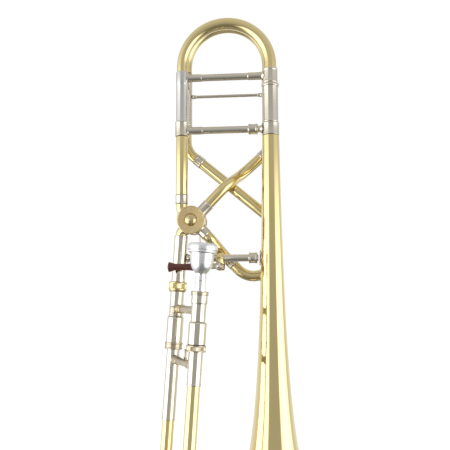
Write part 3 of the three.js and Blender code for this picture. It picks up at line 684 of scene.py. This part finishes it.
def make_bell():
    rows = 110
    low, wall = 3.2, 0.9
    heights = [low + (BELL_TAIL - low) * (i / (rows - 1)) ** 2.2 for i in range(rows)]
    bead = [radians(d) for d in range(20, 171, 15)]
    rim = [(105.5, 0), (106.6, 0)] + [(106.4 + 1.6 * sin(a), 1.6 - 1.6 * cos(a)) for a in bead]
    outside = rim + [(bell_radius(z), z) for z in heights]
    inside = [(104.4, 0.5)] + [(bell_radius(z) - wall, z) for z in heights]
    piece("bell_spun", swept(line(V(0, 0, 0), UP), outside + inside[::-1], 144), "bell")
    piece("bell_tail_collar", ferrule(11.8, 10.3, 18, V(0, 0, BELL_TAIL + GAP), UP), "bell_tail_ferrule")


# --- main tuning slide
LEG_X = -121.7                        # the left leg; the right leg is on the bell's axis


def make_main_slide():
    piece("right_outer_sleeve", tube(
        [(10.6, 0), (11, 0.6), (11, 1.6), (10.8, 2), (10.8, 49.4), (11.6, 49.9), (12, 50.6), (12, 53.2),
         (11.4, 54)], 10.2, V(0, 0, 547.5), UP), "main_slide_sleeve_right")
    piece("left_inner_leg", sleeve(7.0, 6.2, 65.5, V(LEG_X, 0, 549.5), UP), "main_slide_leg_left")
    piece("bow_leg_right", tube(
        [(9.5, 0), (9.5, 49.5), (10.2, 49.9), (10.5, 50.6), (10.5, 52.4), (10.2, 53), (10.2, 67.6),
         (10.5, 68.2), (10.5, 70), (10, 70.8)], 8.6, V(0, 0, 552.3), UP), "main_bow_leg_right")
    piece("bow_leg_left", tube(
        [(8.3, 0), (8.55, 0.6), (8.55, 2.4), (8.25, 2.8), (8.25, 54.8), (8.55, 55.2), (8.55, 71.8),
         (8.2, 72.5)], 7.5, V(LEG_X, 0, 549.8), UP), "main_bow_leg_left", "bright_nickel")
    top = 690.15
    wide, narrow = 8.95, 7.3
    path = u_bend(V(0, 0, 623.4), V(0, 0, top), V(LEG_X, 0, top), V(LEG_X, 0, 622.6))
    bow = pipe(path, lambda s: wide + (narrow - wide) * s / path.length, sides=56)
    piece("main_bow_bent", bow, "main_bow")
    left, right = V(LEG_X, 0, 613.6), V(0, 0, 613.6)
    length = -LEG_X - 8.85 - 10.8
    stay = two_ended([(6.6, -0.2), (6, 0.5), (5.5, 1.4), (5.3, 3), (5.3, 18), (4.8, 18.8)],
                     [(4.8, 20), (5.3, 19), (5.3, 3), (5.6, 1.4), (6.2, 0.5), (6.8, -0.2)], length)
    stay = brace(stay, left + RIGHT * 8.85, RIGHT, [(left, 8.55), (right, 10.5)])
    piece("main_bow_stay", stay, "main_bow_brace")


# --- neckpipe and valve
PORT = {"neckpipe": 135, "feed": 46.5, "back": -45, "gooseneck": 225}
VALVE_HALF = 16.8                     # half the casing's length along Y
PORT_END = 15.3                       # where a port's ferrule starts, from the valve's axis


def port_direction(port):
    return V(cos(radians(PORT[port])), 0, sin(radians(PORT[port])))


def valve_point(port, distance):
    return VALVE + port_direction(port) * distance


def make_neckpipe():
    piece("neckpipe_collar", ferrule(9.4, 6.8, 20.8, V(LEG_X, 0, 531), UP), "neckpipe_upper_ferrule")
    piece("neckpipe_tube", sleeve(8.2, 7.4, 80.1, V(LEG_X, 0, 450.6), UP), "neckpipe")
    collar = ferrule(8.6, 7.4, 13, V(LEG_X, 0, 437.3), UP, 0.25, 1.5)
    piece("neckpipe_lower_collar", collar, "neckpipe_lower_ferrule")
    corner = V(LEG_X, 0, VALVE.z + VALVE.x - LEG_X)
    elbow = Path([V(LEG_X, 0, 437), corner, valve_point("neckpipe", 15.4)], [11])
    piece("neckpipe_bend", pipe(elbow, 8.1, 1), "neckpipe_elbow")


def make_gooseneck():
    top = far(-56.9)
    elbow = Path([valve_point("gooseneck", 15.4), far(-61.1), top - DOWN * GAP], [9.5])
    piece("gooseneck_bend", pipe(elbow, 8.1, 1), "gooseneck_elbow")
    outside = [(9.3, 0), (9.6, 0.5), (9.6, 2), (9.2, 2.5), (9, 58), (9.3, 62)]
    piece("gooseneck_tube", tube(outside, 8, top, DOWN), "gooseneck")


def make_valve():
    front = VALVE - BACK * VALVE_HALF
    outside = [(16.6, 0), (16.6, 1.6), (16.35, 1.9), (16.35, 31.7), (16.6, 32), (16.6, 33.6)]
    lug = [(9.3, 14.6), (9.1, 16.8), (8.5, 18.3)]
    lugs = [turned(lug, VALVE, port_direction(port), 40) for port in PORT]
    piece("valve_shell", merged(tube(outside, 15, front, BACK, 96), *lugs), "valve_casing")
    core = rod(14.4, VALVE - BACK * 15.8, VALVE + BACK * 15.8, 64)
    shaft = rod(2.8, VALVE + BACK * 14.8, VALVE + BACK * 21.4, 28)
    piece("rotor_core", merged(core, shaft), "valve_rotor")


def make_valve_covers():
    front = VALVE - BACK * (VALVE_HALF + GAP)
    cap = turned([(18.1, 0), (18.9, 0.5), (18.9, 3), (18.4, 3.5), (17.4, 3.6), (17.1, 3.25), (8.6, 3.35),
                  (8.3, 2.6)], front, -BACK, 240, 0.35, Flutes(60, 0.45, 0.45, 3.1, 18.5))
    piece("valve_cap_spun", cap, "valve_front_cap", sharp=28)
    dome = [(7.7, 0), (7.8, 0.9), (7.3, 1.9), (6.4, 2.9), (5.2, 3.7), (3.8, 4.3), (2.2, 4.7), (1.5, 4.75)]
    outline = [(0, 0)] + flowing(dome, 5) + [(1.3, 4.95), (0.7, 5.1), (0, 5.15)]
    boss = swept(line(front - BACK * 2.5, -BACK), outline, 64, False)
    detail("valve_cap_boss", boss, "bell_section", "brushed_brass", "satin_brass", 50)

    outside = [(17.6, 0), (17.6, 2), (17, 2.5), (8.6, 2.7), (8.2, 3.2)]
    parts = [tube(outside, 3.4, VALVE + BACK * (VALVE_HALF + GAP), BACK, 96)]
    stops = []
    for z in (8.5, -8.5):
        post = VALVE + V(-7.5, VALVE_HALF, z)
        parts.append(rod(3.3, post + BACK * 2, post + BACK * 4.2, 28))
        stops.append(turned([(2.5, 0), (2.6, 1.6), (1.9, 2.1)], post + BACK * 4, BACK, 28))
    piece("valve_rear_plate", merged(*parts), "valve_back_plate")
    detail("valve_stop_bumpers", merged(*stops), "bell_section", "bumper_rubber")


# --- F attachment
F_Y = 24.5
F_LEFT = -119.3
F_RIGHT = -4.1
F_RADIUS = 7.4
SLOPE = radians(-39.7)
RETURN_WAY = V(cos(SLOPE), 0, sin(SLOPE))
RETURN_CORNER = V(F_LEFT, F_Y, 516.2)
LOW_CORNER = V(-38.2, F_Y, 340.1)
LOWER_END = V(-63.8, F_Y, 366.5)
LOWER_WAY = (LOW_CORNER - LOWER_END).normalized()


def return_point(s):
    return RETURN_CORNER + RETURN_WAY * s


def lower_point(s):
    return LOWER_END + LOWER_WAY * s


def f_collar(length, origin, direction):
    return ferrule(7.95, 6.6, length, origin, direction, 0.25, 1.4)


def make_f_feed():
    feed = port_direction("feed")
    port_sleeve = ferrule(8.0, 6.6, 17, valve_point("feed", PORT_END), feed, 0.3)
    piece("feed_port_sleeve", port_sleeve, "valve_port_ferrule_upper")
    turn = V(-12.9, F_Y, 506)
    last = V(-41, F_Y, 480.9)
    rise = (turn - last).normalized()
    end = turn - rise * 3.2
    path = Path([valve_point("feed", 32.6), V(-60.2, 0, 462.9), last, end], [38, 38], 2.5)
    piece("feed_pipe", pipe(path, F_RADIUS), "f_feed_tube")
    piece("feed_collar", f_collar(9.9, end + rise * GAP, rise), "f_feed_ferrule")
    start = turn + rise * (7 + GAP)
    corner = start + rise * ((F_RIGHT - start.x) / rise.x)
    bend = Path([start, corner, V(F_RIGHT, F_Y, 551.8)], [9.5])
    piece("feed_pipe_bend", pipe(bend, F_RADIUS), "f_feed_bend")


def make_f_slide():
    outer = [(7.9, 0), (8.2, 0.6), (8.2, 2.2), (8, 2.6), (8, 64.8), (8.35, 65.3), (8.35, 67.2),
             (8, 67.9)]
    inner = [(7, 0), (7, 64.3), (8, 64.6), (8.3, 65.2), (8.3, 71.2), (7.9, 71.9)]
    for name, x in (("left", F_LEFT), ("right", F_RIGHT)):
        piece(f"f_outer_sleeve_{name}", tube(outer, 7.5, V(x, F_Y, 552.1), UP), f"f_slide_sleeve_{name}")
        piece(f"f_inner_leg_{name}", tube(inner, 6.2, V(x, F_Y, 556), UP), f"f_bow_leg_{name}")
    inset = 8.5
    length = F_RIGHT - F_LEFT - 2 * inset
    stay = mirrored([(3.4, 0), (3.2, 1.2), (2.7, 2.2), (2.7, 5), (2.1, 5.6)], length)
    piece("f_slide_stay", turned(stay, V(F_LEFT + inset, F_Y, 594.5), RIGHT, 32), "f_slide_brace")
    low, top = 629, 637.3 + (F_RIGHT - F_LEFT) / 2
    path = u_bend(V(F_RIGHT, F_Y, low), V(F_RIGHT, F_Y, top), V(F_LEFT, F_Y, top), V(F_LEFT, F_Y, low))
    piece("f_bow_bent", pipe(path, 7.6, sides=48), "f_bow")


def make_f_return():
    bend = Path([V(F_LEFT, F_Y, 551.8), RETURN_CORNER, return_point(18)], [30], 3)
    piece("return_pipe_bend", pipe(bend, F_RADIUS), "f_return_bend")
    piece("return_collar", f_collar(11.7, return_point(18 + GAP), RETURN_WAY), "f_return_ferrule")
    crook_x = 3.9
    turn_down = return_point((crook_x - F_LEFT) / RETURN_WAY.x)
    bottom = V(crook_x, F_Y, LOW_CORNER.z)
    crook = Path([return_point(30.3), turn_down, bottom, LOW_CORNER, lower_point(16.8)], [24, 30, 30], 3)
    piece("return_pipe_crook", pipe(crook, F_RADIUS), "f_return_crook")
    collar = f_collar(11.2, lower_point(5 + GAP), LOWER_WAY)
    piece("return_lower_collar", collar, "f_return_lower_ferrule")
    corners = [valve_point("back", 28.3), valve_point("back", 33), LOWER_END, lower_point(5)]
    lower = Path(corners, [13, 13], 3)
    piece("return_lower_pipe", pipe(lower, F_RADIUS), "f_return_lower_tube")
    back = ferrule(8.0, 6.6, 12.7, valve_point("back", PORT_END), port_direction("back"), 0.3)
    piece("back_port_sleeve", back, "valve_port_ferrule_lower")
    foot = return_point(80)
    foot.y = 7.4
    stay = [(4.6, 0), (4.2, 0.7), (2.9, 2.2), (2.5, 4.6), (2.9, 7), (4.2, 9), (4.6, 10)]
    piece("tube_stay", turned(stay, foot, BACK, 32), "f_tube_strut")


# --- bell braces
UPPER_BRACE_Z = 539.2
LOWER_BRACE_Z = 363.9


def make_bell_braces():
    left, right = V(LEG_X, 0, UPPER_BRACE_Z), V(0, 0, UPPER_BRACE_Z)
    length = -LEG_X - 10 - 12.4
    stay = two_ended([(6.9, -0.2), (6.2, 0.5), (5.6, 1.4), (5.4, 3), (5.4, 18), (4.9, 18.8)],
                     [(4.9, 18), (7.2, 17.6), (7.5, 16.4), (7, 15), (7, 8), (7.5, 6.6), (7.2, 5.2),
                      (4.6, 4.8), (4.6, 2.6), (5.2, 1), (6, -0.2)], length)
    stay = brace(stay, left + RIGHT * 10, RIGHT, [(left, 9.6), (right, 11.9)])
    piece("upper_bell_stay", stay, "upper_bell_brace")
    start = V(-114.6, 0.8, LOWER_BRACE_Z)
    length = 114.6 - 17.9
    stay = two_ended([(6.4, 0), (6.2, 1.2), (5.2, 3), (5.2, 12), (4.8, 12.6)],
                     [(4.8, 12.9), (7.2, 12.6), (7.5, 11.4), (7, 10.4), (7, 4.6), (7.5, 3.4), (7.2, 1.4),
                      (4.4, 0.9), (4.4, 0)], length)
    stay = brace(stay, start, V(1, -start.y / length, 0))
    piece("lower_bell_stay", stay, "lower_bell_brace")


def make_bell_flange():
    """A diamond plate that follows the bell: its outer face, then the face that lies on the bell."""
    outline = rounded_outline([(0, -11.5), (10, 0), (0, 11.5), (-10, 0)], [3] * 4, 6)
    steps = 8
    outer, inner = 1.7, 0.4
    vertices = []
    for lift in (outer, inner):
        for step in range(steps + 1):
            scale = step / steps
            drop = 0.5 * max(0.0, scale * 8 - 7) if lift == outer else 0.0
            for y, z in outline:
                radius = bell_radius(LOWER_BRACE_Z + z * scale) + lift - drop
                x = -sqrt(radius ** 2 - (y * scale) ** 2)
                vertices.append(V(x, y * scale, LOWER_BRACE_Z + z * scale))
    count = len(outline)
    rings = [range(i, i + count) for i in range(0, len(vertices), count)]
    front, rear = rings[:steps + 1], rings[steps + 1:]
    faces = bands(front) + bands(rear) + band(front[-1], rear[-1])
    face_outward(piece("bell_diamond", (vertices, faces), "bell_flange"), join=True)


# --- thumb trigger
HINGE = V(-69, 0, 352.6)
SWING = radians(10.5)
ARM = 31.5
ROLLER_Y, REAR_Y = -18.5, 23.4
ROLLER_LEFT, ROLLER_RIGHT = -136.1, -99.6
LINK_FOOT = HINGE + V(-ARM * cos(SWING), 0, ARM * sin(SWING))
STOP = VALVE + V(8 * sqrt(0.5), 0, 8 * sqrt(0.5))


def tapered_arm(a, b, wide, narrow, thick):
    """A flat forged arm from a to b, in the plane square to Y, wider at a than at b."""
    along = (b - a).normalized()
    start, end = -wide * 0.6, (b - a).length + narrow * 0.6
    outline = rounded_outline([(start, -wide), (end, -narrow), (end, narrow), (start, wide)],
                              [wide, narrow, narrow, wide])
    return slab(outline, thick, a + BACK * (thick / 2), along, BACK.cross(along).normalized(), 0.45)


def axle_at(x):
    return V(x, ROLLER_Y, 351.7)


def make_thumb_lever():
    hub = turned([(3.6, 0), (3.9, 0.5), (3.9, 2.1), (3.2, 2.6), (3.2, 43.4), (3.9, 43.9), (3.9, 45.9),
                  (3.6, 46.5)], HINGE + BACK * (ROLLER_Y - 2.2), BACK, 36)
    front = tapered_arm(HINGE + BACK * ROLLER_Y, axle_at(ROLLER_RIGHT + 2.6), 4.2, 2.6, 3.2)
    collar = turned([(3.6, 0), (4.2, 0.8), (3.4, 2.4), (2.2, 3.4)], axle_at(ROLLER_RIGHT + 4), -RIGHT, 32)
    axle = rod(1.5, axle_at(ROLLER_RIGHT + 4), axle_at(ROLLER_LEFT - 1.2))
    rear_plane = BACK * (REAR_Y + 0.6)
    rear = tapered_arm(HINGE + rear_plane, LINK_FOOT + rear_plane, 3.6, 2.2, 2.4)
    eye = rod(3.4, LINK_FOOT + BACK * (REAR_Y - 1.2), LINK_FOOT + BACK * (REAR_Y + 2.4), 32)
    piece("thumb_lever_forged", merged(hub, front, collar, axle, rear, eye), "thumb_lever")
    screws = [screw(HINGE + BACK * (ROLLER_Y - 2.0), -BACK, 2.6, 1.0),
              screw(HINGE + BACK * (REAR_Y + 2.3), BACK, 2.6, 1.0)]
    detail("thumb_lever_screws", merged(*screws), "thumb_trigger", "nickel_silver")
    cap = turned([(2, 0), (2.3, 0.6), (1.7, 1.3), (0, 1.4)], axle_at(ROLLER_LEFT - 0.2), -RIGHT, 28)
    detail("thumb_roller_cap", cap, "thumb_trigger", "nickel_silver")
    shape = two_ended([(5.9, 0.2), (6.6, 1.2), (6.2, 3.2), (5.1, 6.6), (4.5, 11), (4.35, 17), (4.4, 24)],
                      [(4.8, 6), (5.5, 2.2), (5.5, 0.5), (5, 0)], ROLLER_RIGHT - ROLLER_LEFT)
    roller = tube(flowing(shape), 1.9, axle_at(ROLLER_LEFT), RIGHT, 48, 0.2)
    piece("thumb_roller_wood", roller, "thumb_roller")


def make_lever_bracket():
    """A clamp round the lower bell brace, its two ears for the hinge, and the plate behind them."""
    parts = [sleeve(6.9, 5.3, 7.4, V(HINGE.x - 3.5, 0.42, LOWER_BRACE_Z), RIGHT)]
    ear = rounded_outline([(-5.4, -5.4), (5.4, -5.4), (5.4, 3), (3.9, 13.6), (-3.9, 13.6), (-5.4, 3)],
                          [4.6, 4.6, 3, 1.2, 1.2, 3])
    for y in (-7.2, 9.6):
        parts.append(slab(ear, 2.4, HINGE + BACK * y, RIGHT, UP, 0.4))
    bridge = rounded_outline([(-3.7, -9), (3.7, -9), (3.7, 9), (-3.7, 9)], [0.8] * 4, 3)
    parts.append(slab(bridge, 4.6, V(HINGE.x, 0, 356.3), RIGHT, BACK, 0.4))
    piece("lever_bracket_cast", merged(*parts), "lever_bracket")
    plate = rounded_outline([(-12, 17.4), (10, 17.4), (7, 23.4), (-7, 37.4), (-12, 33.4)], [1.6] * 5)
    stem = rounded_outline([(-4, -1), (4, -1), (5, 19), (-5, 19)], [0.8] * 4)
    guard = [slab(outline, 1.6, HINGE + BACK * 18.4, RIGHT, UP, 0.35) for outline in (plate, stem)]
    detail("trigger_guard_plate", merged(*guard), "bell_section", "brass")
    coil = helix(HINGE - BACK * 17.2, BACK, 4.7, 5, 1.35, 0.45,
                 (HINGE + V(-13, -17.2, 3.4), HINGE + V(-4, -10.3, 7)))
    detail("trigger_spring", coil, "bell_section", "nickel_silver")


def make_linkage():
    lower, upper = LINK_FOOT + BACK * (REAR_Y + 3), STOP + BACK * (REAR_Y + 3)
    rise = upper - lower
    shank = mirrored([(2.3, 3), (2.5, 3.6), (2.5, 9.5), (1.3, 10)], rise.length)
    parts = [turned(mirrored([(3.2, 0), (3.7, 0.7)], 2.6), end, BACK, 36) for end in (lower, upper)]
    parts.insert(0, turned(shank, lower + BACK * 1.3, rise, 28))
    piece("link_rod", merged(*parts), "rotor_link")
    screws = [screw(end + BACK * 2.5, BACK, 2.3, 0.9) for end in (lower, upper)]
    detail("link_screws", merged(*screws), "trigger_link", "nickel_silver")

    hub = VALVE + BACK * 21.7
    tilt = (STOP - VALVE).normalized()
    outline = rounded_outline(
        [(-11, -2.0), (-2, -5.2), (11.4, -2.6), (11.4, 2.6), (-2, 5.2), (-11, 2.0)], [2, 4, 2.6, 2.6, 4, 2])
    piece("stop_arm_forged", merged(
        turned([(5, 0), (5, 3.2), (4.6, 3.6)], hub, BACK, 40),
        slab(outline, 2.6, hub + BACK * 3.1, tilt, BACK.cross(tilt), 0.4),
        rod(3.1, STOP + BACK * 21.7, STOP + BACK * 25.9, 32),
        rod(1.6, VALVE + BACK * 23.5, VALVE + V(-8.4, 23.5, 0))), "rotor_stop_arm")
    detail("stop_arm_screw", screw(hub + BACK * 3.5, BACK, 3.4, 1.4), "rotor", "nickel_silver")


# --- hand slide
BARREL_BORE = [(7.5, 0), (7.5, 3), (9.3, 3.2)]
BRACE_INSET = 9.4
TONGUE_TURN = radians(-52)


def slide_trim(name, mesh):
    detail(name, mesh, "slide_section", "nickel_silver", "satin_nickel")


def make_slide_top():
    nut = [(11.2, 0), (12.1, 0.8), (12.1, 2), (11.7, 2.4), (11.7, 8.6), (12.1, 9), (12.1, 10.4), (10.6, 13.4)]
    nut = on_slide(far, nut, 9.7, 5.4, 192, Flutes(48, 0.4, 2.3, 8.7, 11.4))
    piece("lock_nut_turned", nut, "slide_lock_nut", "satin_brass", 28)
    receiver = on_slide(far, [(8.9, 0), (9.1, 13), (9.1, 43.2), (9.8, 43.8), (9.8, 44.9)], 7.6, 5.6)
    piece("bell_side_receiver", receiver, "slide_receiver")
    barrel = [(9.4, 0), (10.4, 0.4), (11.05, 2), (11.05, 34.4), (10.9, 43)]
    piece("far_barrel", on_slide(far, barrel, BARREL_BORE + [(9.3, 43)], 50.8), "cork_barrel_far")
    rings = [(11.2, 0), (11.9, 0.6), (11.9, 2.4), (11.5, 2.8), (11.5, 6.8), (11.9, 7.2), (11.9, 8.6),
             (11.3, 9.3)]
    slide_trim("far_barrel_band", on_slide(far, rings, 10.6, 84.8))
    socket = [(9.9, 0), (9.9, 4.9), (10, 13.8), (9.2, 15.4), (9.05, 18), (9.05, 36.2)]
    piece("mouthpiece_socket", on_slide(near, socket, 7.1, 17.7), "mouthpiece_receiver")
    collar = [(10.3, 0), (10.75, 0.6), (10.75, 4.4), (10.3, 4.9)]
    slide_trim("receiver_collar", on_slide(near, collar, 9.6, 17.65))
    barrel = [(9.4, 0), (10.4, 0.4), (11.05, 2), (11.05, 26.6), (10.1, 27.2), (10.1, 35.4)]
    piece("near_barrel", on_slide(near, barrel, BARREL_BORE + [(9.3, 35.4)], 54.3), "cork_barrel_near")
    end = 738
    for name, side, top in (("far", far, 51), ("near", near, 54.6)):
        outside = two_ended([(6.9, 0)], [(6.9, 120), (7, 118), (7, 0)], end - top)
        piece(f"inner_tube_{name}", on_slide(side, outside, 6.4, top, 48), f"inner_slide_tube_{name}")


def make_inner_brace():
    length = SPACING - 2 * BRACE_INSET
    start = far(41) + ACROSS * BRACE_INSET
    stay = two_ended([(5.4, 0), (6, 1.6), (5.4, 3), (4.6, 4.6), (4.6, 6), (5.2, 6.6), (5.2, 17.4), (5, 18)],
                     [(5, 16), (5.5, 15.4), (5.6, 6), (6.2, 3), (7, 0.6), (7, 0)], length)
    stay = brace(stay, start, ACROSS, [(far(41), 9.1), (near(41), 9.2)])
    piece("inner_slide_stay", stay, "inner_slide_brace", "satin_nickel")
    collar = turned(mirrored([(5.5, 6.2), (5.9, 6.8), (5.9, 8.4), (5.5, 9)], 24.2), start, ACROSS, 48)
    detail("inner_brace_collar", collar, "slide_section", "brass", "satin_brass")
    facing = (-RIGHT * 0.28 - BACK).normalized()
    saddle = [(5.4, 0), (5.4, 0.6), (4.8, 1.3), (3.4, 1.7), (0, 1.9)]
    saddle = brace(saddle, far(42) + facing * 8.7, facing, [(far(42), 9.1)])
    slide_trim("inner_brace_saddle", saddle)


def make_lock_ring():
    """The ring, and its tongue beside it, whose foot hooks over the top of the grip brace."""
    ring = mirrored([(11.7, 0), (12.1, 0.4), (12.1, 1.4), (11.9, 1.7)], 7.8)
    ring = on_slide(near, ring, 10.6, 81.9, 192, Flutes(64, 0.35, 1.6, 6.2, 11.8))
    piece("lock_ring_turned", ring, "slide_lock_ring", "satin_nickel", 28)
    swing = Matrix.Rotation(TONGUE_TURN, 3, DOWN)
    hook = rounded_outline(
        [(-3, 0), (3, 0), (2.6, 9), (5.6, 11.2), (5.2, 12.8), (-0.4, 12.4), (-2.6, 9.4)],
        [0.6, 0.6, 1.6, 0.8, 0.8, 1.2, 1.2], 5)
    tongue = slab(hook, 2.0, near(87.7) - (swing @ ACROSS) * 12.4, swing @ THROUGH, DOWN, 0.35)
    detail("lock_ring_tongue", tongue, "lock_ring", "nickel_silver", "satin_nickel")


def make_mouthpiece():
    rim = [(12.2, 3.6), (12.4, 1.8), (13.3, 0.6), (14.5, 0.1), (15.6, 0), (16.8, 0.4), (17.8, 1.3),
           (18.4, 2.6), (18.7, 4.2)]
    body = [(18.7, 4.2), (18.7, 7.5), (18.3, 8.1), (17.5, 8.4), (17.1, 8.7), (17.2, 9.2), (17.2, 10.9),
            (16.6, 11.5), (15.2, 11.9), (14.7, 13), (14.6, 16), (14.1, 22), (13.3, 26.5), (11.7, 30.4),
            (9.3, 34), (7.1, 36.6), (6.4, 39)]
    shank = [(6.4, 39), (6.5, 41), (6.75, 41.6), (6.8, 43.4), (6.75, 45.2), (6.4, 45.8), (6.2, 46.6),
             (6.4, 50), (6.7, 57), (6.1, 85.6)]
    cup = [(12.2, 3.6), (11.9, 9), (10.6, 17), (7.6, 23.6), (4.2, 28), (3.5, 32), (3.7, 38), (5.1, 85.6)]
    outline = flowing(rim)[:-1] + flowing(body)[:-1] + flowing(shank) + flowing(cup)[:0:-1]
    piece("mouthpiece_turned", swept(line(near(-40.8), DOWN), outline, 96), "mouthpiece", sharp=40)


# --- outer slide
OUTER_TOP = 78
OUTER_END = 744.7
CROOK_RADIUS = SPACING / 2
CROOK_START = 757
CROOK_CENTRE = far(CROOK_START) + ACROSS * CROOK_RADIUS


def make_outer_slide():
    for name, side, stop in (("far", far, 185.6), ("near", near, 129.8)):
        length = stop - OUTER_TOP
        lip = [(8.65, 2.6), (8.85, 2.2), (8.85, 0.5), (8.4, 0)]
        outside = on_slide(side, two_ended([(8.3, 0), (8.65, 0.5)], lip, length), 7.95, OUTER_TOP)
        detail(f"outer_sleeve_{name}", outside, "outer_slide", "nickel_silver")
        straight = [(7.97, 0), (7.97, OUTER_END - OUTER_TOP - GAP)]
        straight = on_slide(side, straight, 7.6, OUTER_TOP + GAP)
        piece(f"outer_tube_{name}", straight, f"outer_slide_tube_{name}")
        collar = ferrule(8.8, 8.1, 20, side(OUTER_END), DOWN, 0.25, 1.6)
        detail(f"crook_collar_{name}", collar, "outer_slide", "brass")
    inset = 9
    length = SPACING - 2 * inset
    stay = two_ended([(6.2, 0), (6.2, 1.4), (5.4, 3.2), (5.6, 4), (5.6, 15), (5, 15.8), (4.6, 24)],
                     [(4.6, 24), (5, 16), (5.6, 15.2), (5.6, 4), (5.4, 3.2), (6.2, 1.4), (6.2, 0)], length)
    stay = brace(stay, far(107) + ACROSS * inset, ACROSS)
    piece("grip_stay", stay, "outer_grip_brace", "satin_nickel")
    low = CROOK_START + CROOK_RADIUS
    path = u_bend(far(OUTER_END + GAP), far(low), near(low), near(OUTER_END + GAP))
    piece("slide_crook_bent", pipe(path, 8.3, sides=48), "slide_crook")


def crook_out(degrees):
    """The direction away from the crook's centre. 0 is across to the near tube, 90 is down."""
    return ACROSS * cos(radians(degrees)) + DOWN * sin(radians(degrees))


def crook_point(degrees, distance):
    """A point at a distance outward from the crook's middle line."""
    return CROOK_CENTRE + crook_out(degrees) * (CROOK_RADIUS + distance)


def make_water_key():
    hole, hinge, tip = 58, 26, 2      # degrees round the crook
    arm_out = 14.2
    lift = 1.6                        # the touch stands clear of the crook's collar
    out = crook_out(hole)
    nipple = turned([(4.6, 0), (4.2, 0.8), (3.5, 1.8), (3.3, 3.6), (3.5, 4.4), (2.2, 4.5), (2, 2)],
                    crook_point(hole, 7.2), out, 32)
    detail("water_key_nipple", nipple, "outer_slide", "brass")
    pivot = crook_point(hinge, arm_out + 0.6)
    spine = [crook_point(hole - i * 2, arm_out + lift * max(0, i - 16) / 12) for i in range(29)]
    piece("water_key_lever", merged(
        turned([(5, 0), (5.2, 0.5), (5, 2), (4.2, 2.8), (0, 3.1)], crook_point(hole, 12.7), out, 36),
        turned(mirrored([(2.8, 0), (3, 0.5), (2.6, 1)], 8), pivot - THROUGH * 4, THROUGH, 32),
        wire(spine, 1.7, 16),
        turned([(3.2, 0), (4, 0.6), (4.2, 1.3), (3.6, 2.1), (2, 2.5), (0, 2.6)],
               crook_point(tip, arm_out + lift - 0.9), crook_out(tip), 36)), "water_key")
    pad = turned([(4.4, 0), (4.6, 0.5), (4.6, 1.8)], crook_point(hole, 11.5), out, 32)
    detail("water_key_pad", pad, "water_key", "bumper_rubber")

    saddle = [(6.6, 0), (6.4, 1.2), (3.4, 2), (0, 2.1)]
    posts = [turned(saddle, crook_point(hinge, 7.6), crook_out(hinge), 36)]
    for sign in (-1, 1):
        peak = pivot + THROUGH * (sign * 6)
        posts.append(rod(1.6, crook_point(hinge, 7) + THROUGH * (sign * 5.8), peak, 24))
        posts.append(turned(mirrored([(2.6, 0), (2.9, 0.4)], 2.8), peak - THROUGH * 1.4, THROUGH, 32))
    piece("water_key_posts", merged(*posts), "water_key_saddle")
    head = screw(pivot + THROUGH * 7.2, THROUGH, 2.1, 1.0)
    detail("water_key_screw", head, "outer_slide", "nickel_silver")
    tails = (crook_point(38, arm_out - 1.5) - THROUGH * 3.4, crook_point(17, arm_out - 3.4) + THROUGH * 3)
    coil = helix(pivot - THROUGH * 3.4, THROUGH, 3.5, 5, 1.3, 0.4, tails)
    detail("water_key_spring", coil, "outer_slide", "brass")


def make_slide_bumper():
    bumper = [(4.2, 0), (4.2, 3), (6, 4), (6.4, 5), (6.4, 11.4), (6, 12.8), (5, 13.4)]
    piece("slide_end_bumper", turned(bumper, crook_point(90, 9), DOWN, 48, 0.6), "slide_bumper")
    cup = tube([(5.2, 0), (5.2, 2.6), (4.6, 3.1)], 4.3, crook_point(90, 8.2), DOWN, 40)
    detail("bumper_cup", cup, "outer_slide", "brass")


make_camera()
make_world()
make_lamp()
make_floor()
make_bell()
make_main_slide()
make_neckpipe()
make_gooseneck()
make_valve()
make_valve_covers()
make_f_feed()
make_f_slide()
make_f_return()
make_bell_braces()
make_bell_flange()
make_thumb_lever()
make_lever_bracket()
make_linkage()
make_slide_top()
make_inner_brace()
make_lock_ring()
make_mouthpiece()
make_outer_slide()
make_water_key()
make_slide_bumper()
